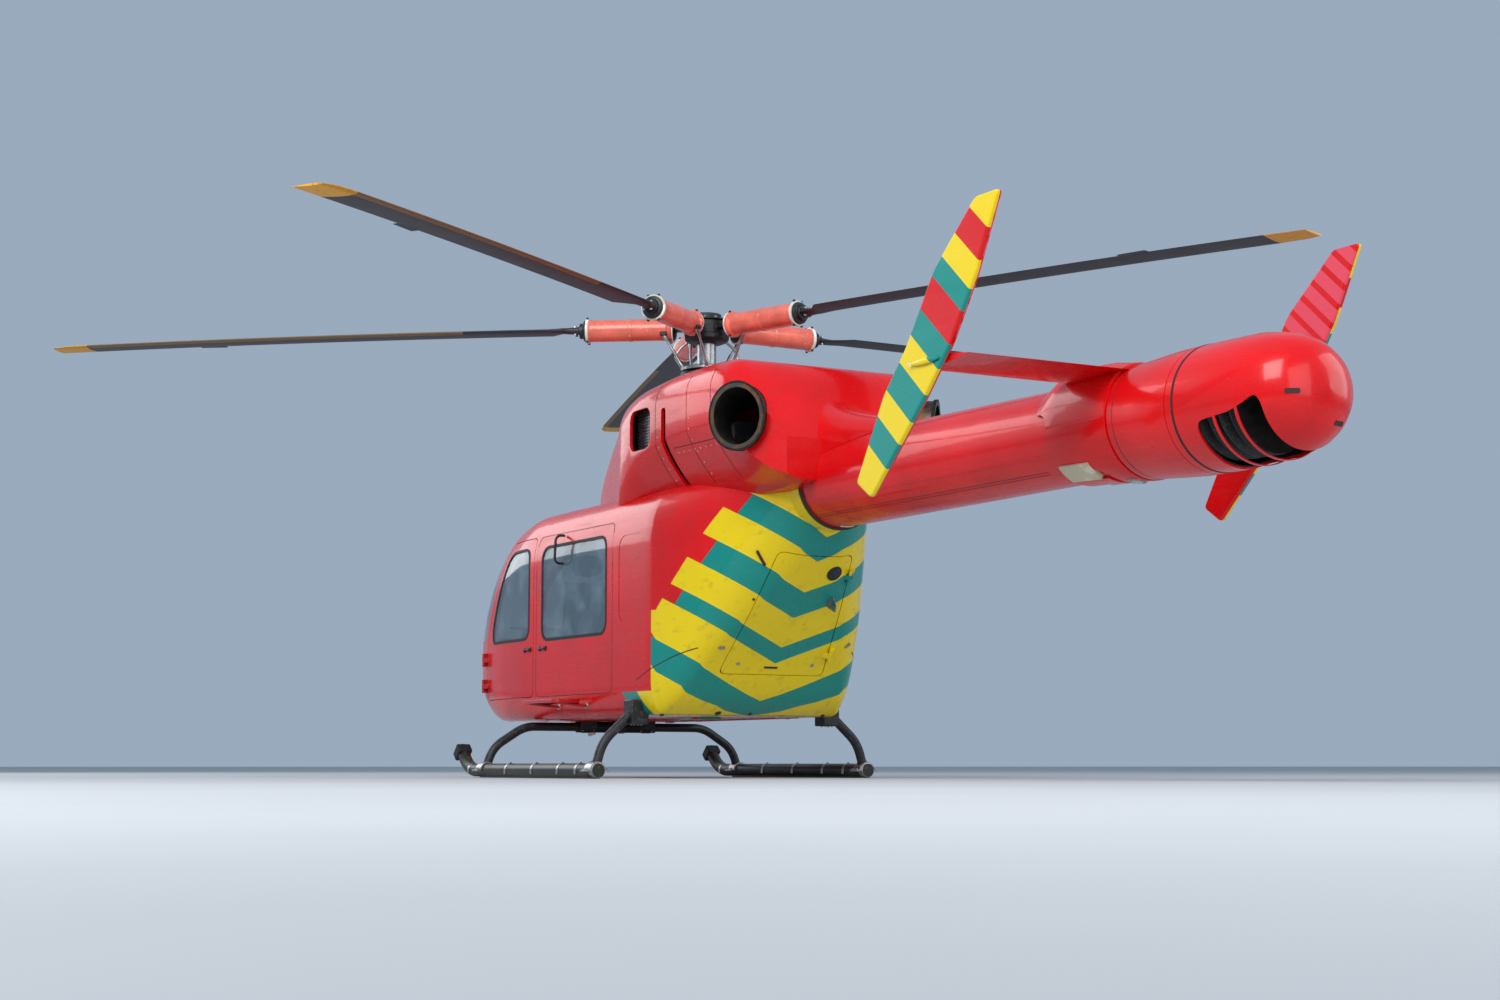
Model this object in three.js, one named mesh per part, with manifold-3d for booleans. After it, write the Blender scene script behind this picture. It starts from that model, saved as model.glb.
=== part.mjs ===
// A light twin-engine helicopter on skids, with five rotor blades and an air thruster at the tail.
// Units are millimetres. The nose points to -Y, port is +X and up is +Z.
// Every piece is drawn above the ground at Z = 0. The last group lowers them all, so that the origin is
// the centre of the hook plate under the belly, on the rotor's axis.

import * as THREE from 'three';
import { mergeVertices } from 'three/addons/utils/BufferGeometryUtils.js';
import Module from 'manifold-3d';

const wasm = await Module();
wasm.setup();

// Driving dimensions

const SEAT = 0.3; // gap between two pieces that touch
const DOOR_GAP = 7; // gap all round a hinged door
const WALL = 40; // thickness of the body's walls and doors
const GLASS = 8;
const GLASS_SINK = 3; // how far the glass lies below the skin

const FLOOR_TOP = 620;
const DOOR_TOP = 1873;
const NOSE_END = -2750; // where the flat belly ends and the chin begins
const CABIN_END = 650;
const BODY_END = 1750;
const HOOK_FACE = 438;
const HOOK_SIZE = 160;

const BOOM_Z = 2020; // height of the boom's centre line
const BOOM_END = 5715;
const BOOM_END_RADIUS = 354;
const CONE_GAP = 5;

const ROTOR_RADIUS = 5155;
const ROTOR_Z = 3400;
const BLADE_COUNT = 5;
const FIRST_BLADE = -18; // degrees from the nose towards port
const BLADE_DROOP = 60; // how far a parked blade's tip hangs

const SKID_X = 1130;
const SKID_Z = 58;
const SKID_RADIUS = 50;
const SKID_REAR = 480;
const SKID_FRONT = -1980;
const TOE_RISE = 170;
const FRONT_TUBE_Y = -1500;
const REAR_TUBE_Y = 420;
const TUBE_RADIUS = 34;

const HINGE_Y = -2396; // crew door hinge line
const HINGE_X = 768;

const ARC_STEPS = 3; // straight steps in each rounded corner

const REAR_HINGE_LOW = [-430, 997, 745]; // rear door hinge line, just outside the skin on starboard
const REAR_HINGE_RUN = [131, 608, 800];

const COWL_END = 2080;
const COWL_WALL = 25;

const STABILISER_SPAN = 2550;
const STABILISER_Z = 2300;
const STABILISER_FRONT = 4720;
const STABILISER_CHORD = 500;
const FIN_THICKNESS = 40;

// Cross sections of the body along Y. A section is a rectangle with elliptical corners: half width,
// bottom, top, and the corner radii as shares of the half width and of the height.
const BODY = [
  // y, half, bottom, top, lower corner across, up, upper corner across, down
  [-3250, 70, 1010, 1150, 0.94, 0.48, 0.94, 0.48],
  [-3200, 230, 860, 1290, 0.9, 0.46, 0.9, 0.5],
  [-3080, 400, 700, 1450, 0.75, 0.42, 0.85, 0.54],
  [-2880, 555, 560, 1620, 0.55, 0.34, 0.72, 0.56],
  [-2620, 670, 480, 1785, 0.35, 0.25, 0.6, 0.52],
  [-2300, 750, 455, 1925, 0.22, 0.2, 0.46, 0.44],
  [-1900, 797, 450, 2020, 0.15, 0.16, 0.36, 0.33],
  [-1450, 815, 450, 2070, 0.12, 0.14, 0.31, 0.27],
  [-300, 815, 450, 2080, 0.12, 0.14, 0.3, 0.25],
  [600, 812, 450, 2090, 0.12, 0.14, 0.3, 0.25],
  [760, 780, 520, 2100, 0.15, 0.17, 0.32, 0.27],
  [1050, 685, 860, 2145, 0.24, 0.25, 0.4, 0.35],
  [1300, 570, 1160, 2215, 0.42, 0.35, 0.55, 0.42],
  [1550, 440, 1450, 2285, 0.7, 0.45, 0.78, 0.47],
  [BODY_END, 325, 1698, 2342, 0.94, 0.48, 0.94, 0.48],
];

// Cross sections of the engine cowl, in the same columns. It stays wide to a blunt rear end.
const COWL = [
  [-1420, 190, 1945, 2092, 0.2, 0.05, 0.8, 0.4],
  [-1150, 330, 1945, 2240, 0.1, 0.05, 0.7, 0.5],
  [-850, 460, 1945, 2440, 0.1, 0.05, 0.6, 0.5],
  [-500, 575, 1945, 2640, 0.1, 0.05, 0.5, 0.45],
  [-150, 680, 1945, 2770, 0.12, 0.06, 0.4, 0.36],
  [80, 765, 1945, 2820, 0.15, 0.08, 0.32, 0.3],
  [400, 800, 1945, 2850, 0.18, 0.1, 0.27, 0.26],
  [1000, 805, 1945, 2880, 0.2, 0.1, 0.25, 0.25],
  [1500, 805, 1945, 2875, 0.22, 0.12, 0.25, 0.25],
  [1800, 780, 1955, 2820, 0.25, 0.15, 0.3, 0.28],
  [1980, 710, 1985, 2740, 0.3, 0.2, 0.38, 0.34],
  [COWL_END, 600, 2040, 2640, 0.35, 0.25, 0.45, 0.4],
];

// Cross sections of the fairing that runs from the cowl's rear end down to the boom, in the same columns
const FAIRING = [
  [COWL_END - 150, 330, 2040, 2640, 0.1, 0.05, 0.7, 0.5],
  [2300, 290, 2040, 2590, 0.1, 0.05, 0.75, 0.5],
  [2620, 210, 2040, 2465, 0.1, 0.05, 0.8, 0.5],
  [2900, 110, 2040, 2350, 0.1, 0.05, 0.9, 0.5],
];

// Outlines seen from the side, as [y, z]
const CREW_DOOR = [
  [HINGE_Y, 622.5],
  [-1323, 622.5],
  [-1323, DOOR_TOP],
  [-1900, DOOR_TOP],
  [-2330, 1180],
  [HINGE_Y, 1000],
];
const CREW_WINDOW = [
  [-2215, 1080],
  [-1410, 1080],
  [-1410, 1790],
  [-1855, 1790],
  [-2215, 1210],
];
const CABIN_DOOR = [
  [-1273, FLOOR_TOP],
  [50, FLOOR_TOP],
  [50, DOOR_TOP],
  [-1273, DOOR_TOP],
];
const CABIN_WINDOW = [
  [-1170, 1060],
  [-55, 1060],
  [-55, 1780],
  [-1170, 1780],
];
const REAR_WINDOW = [
  [150, 1120],
  [560, 1120],
  [560, 1760],
  [150, 1760],
];
const WINDSHIELD = [
  [-3400, 1215],
  [-2560, 1100],
  [-2440, 1145],
  [-1900, 2010],
  [-1870, 2300],
  [-3400, 2300],
];
const NOSE_SIDE = [
  [-3400, 0],
  [NOSE_END, 0],
  [NOSE_END, FLOOR_TOP + SEAT],
  [-2100, FLOOR_TOP + SEAT],
  [-2100, 1200],
  [-1870, 1800],
  [-1830, 1990],
  [-1815, 2300],
  [-3400, 2300],
];
const INTAKE = [
  [60, 2420],
  [480, 2420],
  [480, 2700],
  [60, 2700],
];
const FIN = [
  [4150, 1700],
  [4300, 1600],
  [4820, 2080],
  [5100, 2370],
  [5330, 2700],
  [5550, 3125],
  [5340, 3125],
  [4950, 2800],
  [4660, 2400],
  [4440, 2170],
];

// Outline of a chin window seen from below, as [x, y], on the port side
const CHIN_WINDOW = [
  [120, -3300],
  [540, -3300],
  [540, -2980],
  [430, -2790],
  [120, -2790],
];
const CHIN_TOP = 1000;

// Outline of the rear door seen square on, as [x, way up the slope]. A turn about X leans it back.
const REAR_DOOR = [
  [-430, 1165],
  [430, 1165],
  [300, 2205],
  [-300, 2205],
];
const REAR_SLOPE = -37.7; // degrees
const REAR_NEAR = 60; // the opening's tool runs along the slope's normal between these two distances
const REAR_FAR = 800;

// Solids and geometries

/** The signed volume of a closed indexed geometry, positive where its faces point out. */
function signedVolume(positions, index) {
  const a = new THREE.Vector3();
  const b = new THREE.Vector3();
  const c = new THREE.Vector3();
  let sum = 0;
  for (let i = 0; i < index.length; i += 3) {
    a.fromArray(positions, 3 * index[i]);
    b.fromArray(positions, 3 * index[i + 1]);
    c.fromArray(positions, 3 * index[i + 2]);
    sum += a.dot(b.cross(c));
  }
  return sum / 6;
}

/** A closed geometry as a solid whose faces point out. */
function solid(geometry) {
  const bare = geometry.clone();
  bare.deleteAttribute('normal');
  bare.deleteAttribute('uv');
  const merged = mergeVertices(bare, 1e-3);
  const positions = new Float32Array(merged.attributes.position.array);
  const corners = merged.index.array;
  const kept = [];
  for (let i = 0; i < corners.length; i += 3) {
    const [a, b, c] = [corners[i], corners[i + 1], corners[i + 2]];
    if (a !== b && b !== c && c !== a) kept.push(a, b, c);
  }
  if (signedVolume(positions, kept) < 0) kept.reverse();
  return new wasm.Manifold(
    new wasm.Mesh({ numProp: 3, vertProperties: positions, triVerts: new Uint32Array(kept) }),
  );
}

/** A solid's surface as a geometry. */
function surface(manifold) {
  const mesh = manifold.getMesh();
  const geometry = new THREE.BufferGeometry();
  geometry.setAttribute('position', new THREE.BufferAttribute(new Float32Array(mesh.vertProperties), 3));
  geometry.setIndex(new THREE.BufferAttribute(new Uint32Array(mesh.triVerts), 1));
  geometry.computeVertexNormals();
  return geometry;
}

/** Joins a list of solids into one. */
function join(...parts) {
  return parts.reduce((whole, part) => whole.add(part));
}

/** Cuts every solid of a list away from the first. */
function cut(whole, ...tools) {
  return tools.reduce((left, tool) => left.subtract(tool), whole);
}

/** A closed geometry over a row of rings with equally many points each, capped by fans. */
function loft(rings) {
  const count = rings[0].length;
  const positions = rings.flat(2);
  const index = [];
  for (let i = 0; i + 1 < rings.length; i += 1) {
    for (let j = 0; j < count; j += 1) {
      const a = i * count + j;
      const b = i * count + ((j + 1) % count);
      index.push(a, b, b + count, a, b + count, a + count);
    }
  }
  for (const [ring, first, turn] of [[rings[0], 0, 1], [rings.at(-1), (rings.length - 1) * count, 0]]) {
    const centre = [0, 1, 2].map((k) => ring.reduce((sum, point) => sum + point[k], 0) / count);
    const hub = positions.push(...centre) / 3 - 1;
    for (let j = 0; j < count; j += 1) {
      const a = first + j;
      const b = first + ((j + 1) % count);
      index.push(...(turn ? [hub, b, a] : [hub, a, b]));
    }
  }
  const geometry = new THREE.BufferGeometry();
  geometry.setAttribute('position', new THREE.Float32BufferAttribute(positions, 3));
  geometry.setIndex(index);
  return geometry;
}

/** A table's columns at y, by cubic curves that never overshoot between two rows. */
function rowAt(table, y) {
  const last = table.length - 1;
  const at = Math.min(Math.max(y, table[0][0]), table[last][0]);
  const i = Math.min(Math.max(table.findIndex((row) => row[0] > at) - 1, 0), last - 1);
  const k = at >= table[last][0] ? last - 1 : i;
  const slope = (n, column) => (table[n + 1][column] - table[n][column]) / (table[n + 1][0] - table[n][0]);
  const tangent = (n, column) => {
    if (n === 0 || n === last) return slope(Math.min(n, last - 1), column);
    const before = slope(n - 1, column);
    const after = slope(n, column);
    return before * after <= 0 ? 0 : (2 * before * after) / (before + after);
  };
  const span = table[k + 1][0] - table[k][0];
  const t = (at - table[k][0]) / span;
  return table[k].map((value, column) => {
    if (column === 0) return at;
    const rise = table[k + 1][column] - value;
    const start = tangent(k, column) * span;
    const end = tangent(k + 1, column) * span;
    return value + start * t + (3 * rise - 2 * start - end) * t * t + (start + end - 2 * rise) * t ** 3;
  });
}

/** A section ring of a table at y, pushed out by an offset: four elliptical corners. */
function sectionRing(table, y, offset) {
  const steps = 4;
  const [, halfWidth, low, high, lowAcross, lowUp, highAcross, highDown] = rowAt(table, y);
  const half = halfWidth + offset;
  const height = high - low + 2 * offset;
  const corners = [
    [1, -1, lowAcross * half, lowUp * height, -90],
    [1, 1, highAcross * half, highDown * height, 0],
    [-1, 1, highAcross * half, highDown * height, 90],
    [-1, -1, lowAcross * half, lowUp * height, 180],
  ];
  const ring = [];
  for (const [side, level, across, up, start] of corners) {
    const x = side * (half - across);
    const z = level > 0 ? high + offset - up : low - offset + up;
    for (let i = 0; i <= steps; i += 1) {
      const angle = THREE.MathUtils.degToRad(start + (90 * i) / steps);
      ring.push([x + across * Math.cos(angle), y, z + up * Math.sin(angle)]);
    }
  }
  return ring;
}

/** A solid over a table's sections, from one y to another, pushed out by an offset. */
function sectionSolid(table, from, to, offset) {
  const rows = [];
  for (let i = 0; i + 1 < table.length; i += 1) {
    const [a, b] = [table[i][0], table[i + 1][0]];
    rows.push(a);
    if (b - a > 270 && b - a < 500) rows.push((a + b) / 2);
  }
  const inside = rows.filter((y) => y > from + 1 && y < to - 1);
  return solid(loft([from, ...inside, to].map((y) => sectionRing(table, y, offset))));
}

/** A convex outline moved inwards by a distance, its points listed counter-clockwise. */
function inset(points, distance) {
  const lines = points.map(([x, y], i) => {
    const [nextX, nextY] = points[(i + 1) % points.length];
    const length = Math.hypot(nextX - x, nextY - y);
    const along = [(nextX - x) / length, (nextY - y) / length];
    return { point: [x - along[1] * distance, y + along[0] * distance], along };
  });
  return lines.map((line, i) => {
    const before = lines[(i + lines.length - 1) % lines.length];
    const [dx, dy] = [line.point[0] - before.point[0], line.point[1] - before.point[1]];
    const cross = before.along[0] * line.along[1] - before.along[1] * line.along[0];
    const t = (dx * line.along[1] - dy * line.along[0]) / cross;
    return [before.point[0] + t * before.along[0], before.point[1] + t * before.along[1]];
  });
}

/** A shape through an outline's points with every corner rounded. */
function outline(points, radius) {
  const shape = new THREE.Shape();
  points.forEach(([x, y], i) => {
    const [fromX, fromY] = points[(i + points.length - 1) % points.length];
    const [toX, toY] = points[(i + 1) % points.length];
    const before = Math.hypot(x - fromX, y - fromY);
    const after = Math.hypot(toX - x, toY - y);
    const r = Math.min(radius, before / 2.2, after / 2.2);
    const start = [x + ((fromX - x) * r) / before, y + ((fromY - y) * r) / before];
    const end = [x + ((toX - x) * r) / after, y + ((toY - y) * r) / after];
    if (i === 0) shape.moveTo(...start);
    else shape.lineTo(...start);
    if (r > 0) shape.quadraticCurveTo(x, y, ...end);
  });
  shape.closePath();
  return shape;
}

/** An outline given as [y, z] and drawn out along X between two values. */
function prismX(points, from, to, radius = 0) {
  const depth = Math.abs(to - from);
  const geometry = new THREE.ExtrudeGeometry(outline(points, radius), {
    depth, bevelEnabled: false, curveSegments: ARC_STEPS,
  });
  const basis = new THREE.Matrix4().makeBasis(
    new THREE.Vector3(0, 1, 0), new THREE.Vector3(0, 0, 1), new THREE.Vector3(1, 0, 0),
  );
  return solid(geometry.applyMatrix4(basis).translate(Math.min(from, to), 0, 0));
}

/** An outline given as [x, z], drawn out along Y between two values, then turned about X by degrees. */
function prismY(points, from, to, radius = 0, turn = 0) {
  const geometry = new THREE.ExtrudeGeometry(outline(points, radius), {
    depth: to - from, bevelEnabled: false, curveSegments: ARC_STEPS,
  });
  const basis = new THREE.Matrix4().makeBasis(
    new THREE.Vector3(1, 0, 0), new THREE.Vector3(0, 0, 1), new THREE.Vector3(0, -1, 0),
  );
  geometry.applyMatrix4(basis).translate(0, to, 0).rotateX(THREE.MathUtils.degToRad(turn));
  return solid(geometry);
}

/** An outline given as [x, y] and drawn out along Z between two values. */
function prismZ(points, from, to, radius = 0) {
  const geometry = new THREE.ExtrudeGeometry(outline(points, radius), {
    depth: to - from, bevelEnabled: false, curveSegments: ARC_STEPS,
  });
  return solid(geometry.translate(0, 0, from));
}

/** A box between two corners. */
function box([x0, y0, z0], [x1, y1, z1]) {
  const geometry = new THREE.BoxGeometry(Math.abs(x1 - x0), y1 - y0, z1 - z0);
  return solid(geometry.translate((x0 + x1) / 2, (y0 + y1) / 2, (z0 + z1) / 2));
}

/** A round bar between two points. */
function bar(from, to, radius, sides = 12) {
  const a = new THREE.Vector3(...from);
  const b = new THREE.Vector3(...to);
  const geometry = new THREE.CylinderGeometry(radius, radius, a.distanceTo(b), sides);
  const turn = new THREE.Quaternion().setFromUnitVectors(
    new THREE.Vector3(0, 1, 0), b.clone().sub(a).normalize(),
  );
  geometry.applyQuaternion(turn);
  return solid(geometry.translate(...a.add(b).multiplyScalar(0.5).toArray()));
}

/** A tube along straight runs joined by soft bends. */
function tube(points, radius, bend, steps = 18, sides = 8) {
  const path = new THREE.CurvePath();
  const corners = points.map((point) => new THREE.Vector3(...point));
  let start = corners[0];
  for (let i = 1; i + 1 < corners.length; i += 1) {
    const into = corners[i - 1].clone().sub(corners[i]).setLength(bend).add(corners[i]);
    const out = corners[i + 1].clone().sub(corners[i]).setLength(bend).add(corners[i]);
    path.add(new THREE.LineCurve3(start, into));
    path.add(new THREE.QuadraticBezierCurve3(into, corners[i], out));
    start = out;
  }
  path.add(new THREE.LineCurve3(start, corners.at(-1)));
  const circle = new THREE.Shape();
  circle.absarc(0, 0, radius, 0, 2 * Math.PI);
  return solid(new THREE.ExtrudeGeometry(circle, {
    steps, extrudePath: path, curveSegments: sides / 2, bevelEnabled: false,
  }));
}

/** A profile of [radius, y] turned about the boom's centre line. */
function turned(profile, segments = 24) {
  const points = profile.map(([r, y]) => new THREE.Vector2(r, y));
  return solid(new THREE.LatheGeometry(points, segments).translate(0, 0, BOOM_Z));
}

/** A solid turned about Z by an angle in degrees. */
function turnedAboutZ(geometry, degrees) {
  return solid(geometry.clone().rotateZ(THREE.MathUtils.degToRad(degrees)));
}

// Finishes, as colour, roughness and metalness

const FINISHES = {
  redPaint: [0xc81618, 0.25, 0],
  glass: [0x5a6f78, 0.08, 0],
  blackMetal: [0x1c1d1f, 0.5, 0.2],
  darkSkid: [0x34342a, 0.6, 0.3],
  steel: [0x8a8a88, 0.35, 0.9],
  coral: [0xf06a58, 0.4, 0],
  blade: [0x27232a, 0.5, 0],
  trim: [0x4a4a50, 0.8, 0],
  seatCloth: [0x3a3c44, 0.9, 0],
  exhaust: [0x5c5650, 0.45, 0.9],
};

const helicopter = new THREE.Group();

/** Adds one named piece with its finish. */
function addPiece(name, shape, finish) {
  const [color, roughness, metalness] = FINISHES[finish];
  const material = new THREE.MeshStandardMaterial({ color, roughness, metalness });
  const mesh = new THREE.Mesh(surface(shape), material);
  mesh.name = name;
  helicopter.add(mesh);
}

const SIDES = [
  ['port', 1],
  ['starboard', -1],
];

// Body shell: the space between an outer and an inner skin

const bodyOuter = sectionSolid(BODY, BODY[0][0], BODY_END, 0);
const bodyTool = sectionSolid(BODY, BODY[0][0], BODY_END, SEAT);
const bodyInner = sectionSolid(BODY, -3165, BODY_END + 20, -WALL);
const shell = cut(bodyOuter, bodyInner);
const glassShell = cut(
  sectionSolid(BODY, -3240, BODY_END, -GLASS_SINK),
  sectionSolid(BODY, -3195, BODY_END + 20, -GLASS_SINK - GLASS),
);
const FAR = 1200; // beyond the body's half width

/** A side outline cut out of the shell, on one side, between two half widths. */
function sideTool(points, side, radius, near = 200) {
  return prismX(points, side * near, side * FAR, radius);
}

const CORNER = 70; // corner radius of a door
const WINDOW_CORNER = 110;

// Belly, solid from the skin to the cabin floor, with a tunnel for the rear cross tube

const rearTubePath = [
  [-SKID_X, REAR_TUBE_Y, SKID_Z],
  [-SKID_X + 60, REAR_TUBE_Y, 260],
  [-790, REAR_TUBE_Y, 508],
  [790, REAR_TUBE_Y, 508],
  [SKID_X - 60, REAR_TUBE_Y, 260],
  [SKID_X, REAR_TUBE_Y, SKID_Z],
];
const frontTubePath = [
  [-SKID_X, FRONT_TUBE_Y, SKID_Z],
  [-SKID_X + 60, FRONT_TUBE_Y, 230],
  [-800, FRONT_TUBE_Y, 398],
  [800, FRONT_TUBE_Y, 398],
  [SKID_X - 60, FRONT_TUBE_Y, 230],
  [SKID_X, FRONT_TUBE_Y, SKID_Z],
];

const bellyBlock = bodyOuter.intersect(
  box([-FAR, NOSE_END + SEAT, 0], [FAR, CABIN_END - SEAT, FLOOR_TOP]),
);
const floorPanel = box([-600, -1180, FLOOR_TOP - 20], [600, -20, FLOOR_TOP + 6]);
addPiece(
  'belly_floor',
  join(cut(bellyBlock, tube(rearTubePath, TUBE_RADIUS + SEAT, 90)), floorPanel),
  'redPaint',
);

const hookPlate = box(
  [-HOOK_SIZE / 2, -HOOK_SIZE / 2, HOOK_FACE], [HOOK_SIZE / 2, HOOK_SIZE / 2, 450 - SEAT],
);
addPiece('hook_plate', hookPlate, 'blackMetal');

// Nose frame with the windshield post, then the glass

const windshieldTools = SIDES.map(([, side]) => prismX(WINDSHIELD, side * 28, side * FAR, 40));
const chinTools = SIDES.map(([, side]) => prismZ(
  CHIN_WINDOW.map(([x, y]) => [side * x, y]), 300, CHIN_TOP, 50,
));

// Hinges: each has a knuckle on the door between two knuckles on the frame

const KNUCKLE = 11;
const KNUCKLE_HEIGHT = 36;
const KNUCKLE_GAP = 0.5;

/** A hinge line: where it starts, its direction, the way out and the way across the door. */
function hingeLine(start, along, out) {
  const a = new THREE.Vector3(...along).normalize();
  const across = new THREE.Vector3(...out).cross(a).normalize();
  return { start: new THREE.Vector3(...start), along: a, across, out: a.clone().cross(across) };
}

/** Puts a geometry drawn with X across the door, Y outwards and Z along the hinge on its line. */
function onHinge(line, distance, geometry) {
  const basis = new THREE.Matrix4().makeBasis(line.across, line.out, line.along);
  basis.setPosition(line.start.clone().addScaledVector(line.along, distance));
  return solid(geometry.applyMatrix4(basis));
}

/** A knuckle and its tab, from one distance across the door to another. */
function knuckle(line, distance, from, to, depth) {
  const pin = new THREE.CylinderGeometry(KNUCKLE, KNUCKLE, KNUCKLE_HEIGHT, 8).rotateX(Math.PI / 2);
  const tab = new THREE.BoxGeometry(to - from, depth + 5, KNUCKLE_HEIGHT);
  const link = new THREE.BoxGeometry(8, 10, KNUCKLE_HEIGHT).translate(Math.sign(from + to) * 4, 0, 0);
  return join(
    onHinge(line, distance, pin),
    onHinge(line, distance, link),
    onHinge(line, distance, tab.translate((from + to) / 2, (5 - depth) / 2, 0)),
  );
}

/** The door's knuckle of one hinge. */
function doorKnuckle(line, distance, depth) {
  return knuckle(line, distance, 4, 46, depth);
}

/** The two frame knuckles of one hinge. */
function frameKnuckles(line, distance, depth) {
  const step = KNUCKLE_HEIGHT + KNUCKLE_GAP;
  return join(
    knuckle(line, distance - step, -46, -4, depth),
    knuckle(line, distance + step, -46, -4, depth),
  );
}

const crewHinges = SIDES.map(([, side]) => hingeLine(
  [side * HINGE_X, HINGE_Y, 0], [0, 0, -side], [side, 0, 0],
));
const CREW_HINGE_LEVELS = [740, 955];
const CREW_TAB_DEPTH = 50;
const crewOpenings = SIDES.map(([, side]) => sideTool(inset(CREW_DOOR, -DOOR_GAP / 2), side, CORNER));
const noseShell = cut(shell.intersect(prismX(NOSE_SIDE, -FAR, FAR)), ...crewOpenings);
const noseKnuckles = SIDES.flatMap(([, side], i) => CREW_HINGE_LEVELS.map(
  (level) => frameKnuckles(crewHinges[i], -side * level, CREW_TAB_DEPTH),
));
addPiece(
  'nose_frame',
  join(cut(noseShell, ...windshieldTools, ...chinTools), ...noseKnuckles),
  'redPaint',
);

SIDES.forEach(([name, side]) => {
  const glass = prismX(inset(WINDSHIELD, SEAT), side * (28 + SEAT), side * FAR, 40);
  addPiece(`windshield_${name}`, glassShell.intersect(glass), 'glass');
});
SIDES.forEach(([name, side]) => {
  const points = inset(CHIN_WINDOW, SEAT).map(([x, y]) => [side * x, y]);
  const pane = glassShell.intersect(prismZ(points, 300, CHIN_TOP - SEAT, 50));
  addPiece(`chin_window_${name}`, pane, 'glass');
});

// Cabin frame: roof, posts and rear side walls in one, with its fixed windows

const cabinBox = box([-FAR, -2600, FLOOR_TOP + SEAT], [FAR, CABIN_END - SEAT, 2400]);
const cabinOpenings = SIDES.map(([, side]) => sideTool(CABIN_DOOR, side, CORNER));
const rearOpenings = SIDES.map(([, side]) => sideTool(REAR_WINDOW, side, WINDOW_CORNER));
const noseLimit = prismX(
  NOSE_SIDE.map(([y, z]) => [y + (z > FLOOR_TOP ? 2 * SEAT : 0), z]), -FAR, FAR,
);
addPiece(
  'cabin_frame',
  cut(shell.intersect(cabinBox), noseLimit, ...crewOpenings, ...cabinOpenings, ...rearOpenings),
  'redPaint',
);

SIDES.forEach(([name, side]) => {
  const tool = sideTool(inset(REAR_WINDOW, SEAT), side, WINDOW_CORNER);
  addPiece(`rear_window_${name}`, glassShell.intersect(tool), 'glass');
});

// Doors with their windows

SIDES.forEach(([name, side], i) => {
  const panel = shell.intersect(sideTool(inset(CREW_DOOR, DOOR_GAP / 2), side, CORNER - DOOR_GAP));
  const window = sideTool(CREW_WINDOW, side, WINDOW_CORNER);
  const knuckles = CREW_HINGE_LEVELS.map(
    (level) => doorKnuckle(crewHinges[i], -side * level, CREW_TAB_DEPTH),
  );
  addPiece(`crew_door_${name}`, join(cut(panel, window), ...knuckles), 'redPaint');
  const pane = sideTool(inset(CREW_WINDOW, SEAT), side, WINDOW_CORNER);
  addPiece(`crew_window_${name}`, glassShell.intersect(pane), 'glass');
});
SIDES.forEach(([name, side]) => {
  const edges = sideTool(inset(CABIN_DOOR, 4), side, CORNER - 4);
  const foot = box([side * 200, -1200, FLOOR_TOP + SEAT], [side * FAR, -20, FLOOR_TOP + 60]);
  const panel = shell.intersect(join(edges, foot));
  addPiece(`cabin_door_${name}`, cut(panel, sideTool(CABIN_WINDOW, side, WINDOW_CORNER)), 'redPaint');
  const pane = sideTool(inset(CABIN_WINDOW, SEAT), side, WINDOW_CORNER);
  addPiece(`cabin_window_${name}`, glassShell.intersect(pane), 'glass');
});

// Aft body with the rear door under the boom

const aftShell = shell.intersect(box([-FAR, CABIN_END, 0], [FAR, BODY_END, 2600]));
const rearOpening = prismY(inset(REAR_DOOR, -DOOR_GAP / 2), REAR_NEAR, REAR_FAR, 60, REAR_SLOPE);
const rearHinge = hingeLine(REAR_HINGE_LOW, REAR_HINGE_RUN, [0, 0.79, -0.61]);
const REAR_HINGE_DISTANCES = [160, 840];
const REAR_TAB_DEPTH = 52;
const rearFrameKnuckles = REAR_HINGE_DISTANCES.map(
  (distance) => frameKnuckles(rearHinge, distance, REAR_TAB_DEPTH),
);
addPiece('aft_body', join(cut(aftShell, rearOpening), ...rearFrameKnuckles), 'redPaint');
const rearPanel = shell.intersect(
  prismY(inset(REAR_DOOR, DOOR_GAP / 2), REAR_NEAR, REAR_FAR, 55, REAR_SLOPE),
);
const rearDoorKnuckles = REAR_HINGE_DISTANCES.map(
  (distance) => doorKnuckle(rearHinge, distance, REAR_TAB_DEPTH),
);
addPiece('rear_door', join(rearPanel, ...rearDoorKnuckles), 'redPaint');

// Boom, thruster and tail

const WALL_THIN = 10;
const boomProfile = [
  [322, BODY_END + SEAT],
  [322, BODY_END + 45],
  [310, BODY_END + 50],
  [290, 4500],
  [322, 5190],
  [331, 5200],
  [331, 5240],
  [BOOM_END_RADIUS, 5600],
  [BOOM_END_RADIUS, BOOM_END],
  [BOOM_END_RADIUS - WALL_THIN, BOOM_END],
  [BOOM_END_RADIUS - WALL_THIN, 5600],
  [331 - WALL_THIN, 5240],
  [331 - WALL_THIN, 5200],
  [312 - WALL_THIN, 5185],
  [290 - WALL_THIN, 4500],
  [310 - WALL_THIN, BODY_END + SEAT],
];
const boomShape = turned([...boomProfile, boomProfile[0]]);
const boomTool = turned([
  [0, BODY_END],
  [322 + SEAT, BODY_END],
  [322 + SEAT, BODY_END + 45 + SEAT],
  [310 + SEAT, BODY_END + 50 + SEAT],
  [290 + SEAT, 4500],
  [322 + SEAT, 5190],
  [332, 5200],
  [332, BOOM_END],
  [0, BOOM_END],
]);
addPiece('tail_boom', boomShape, 'redPaint');

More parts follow.
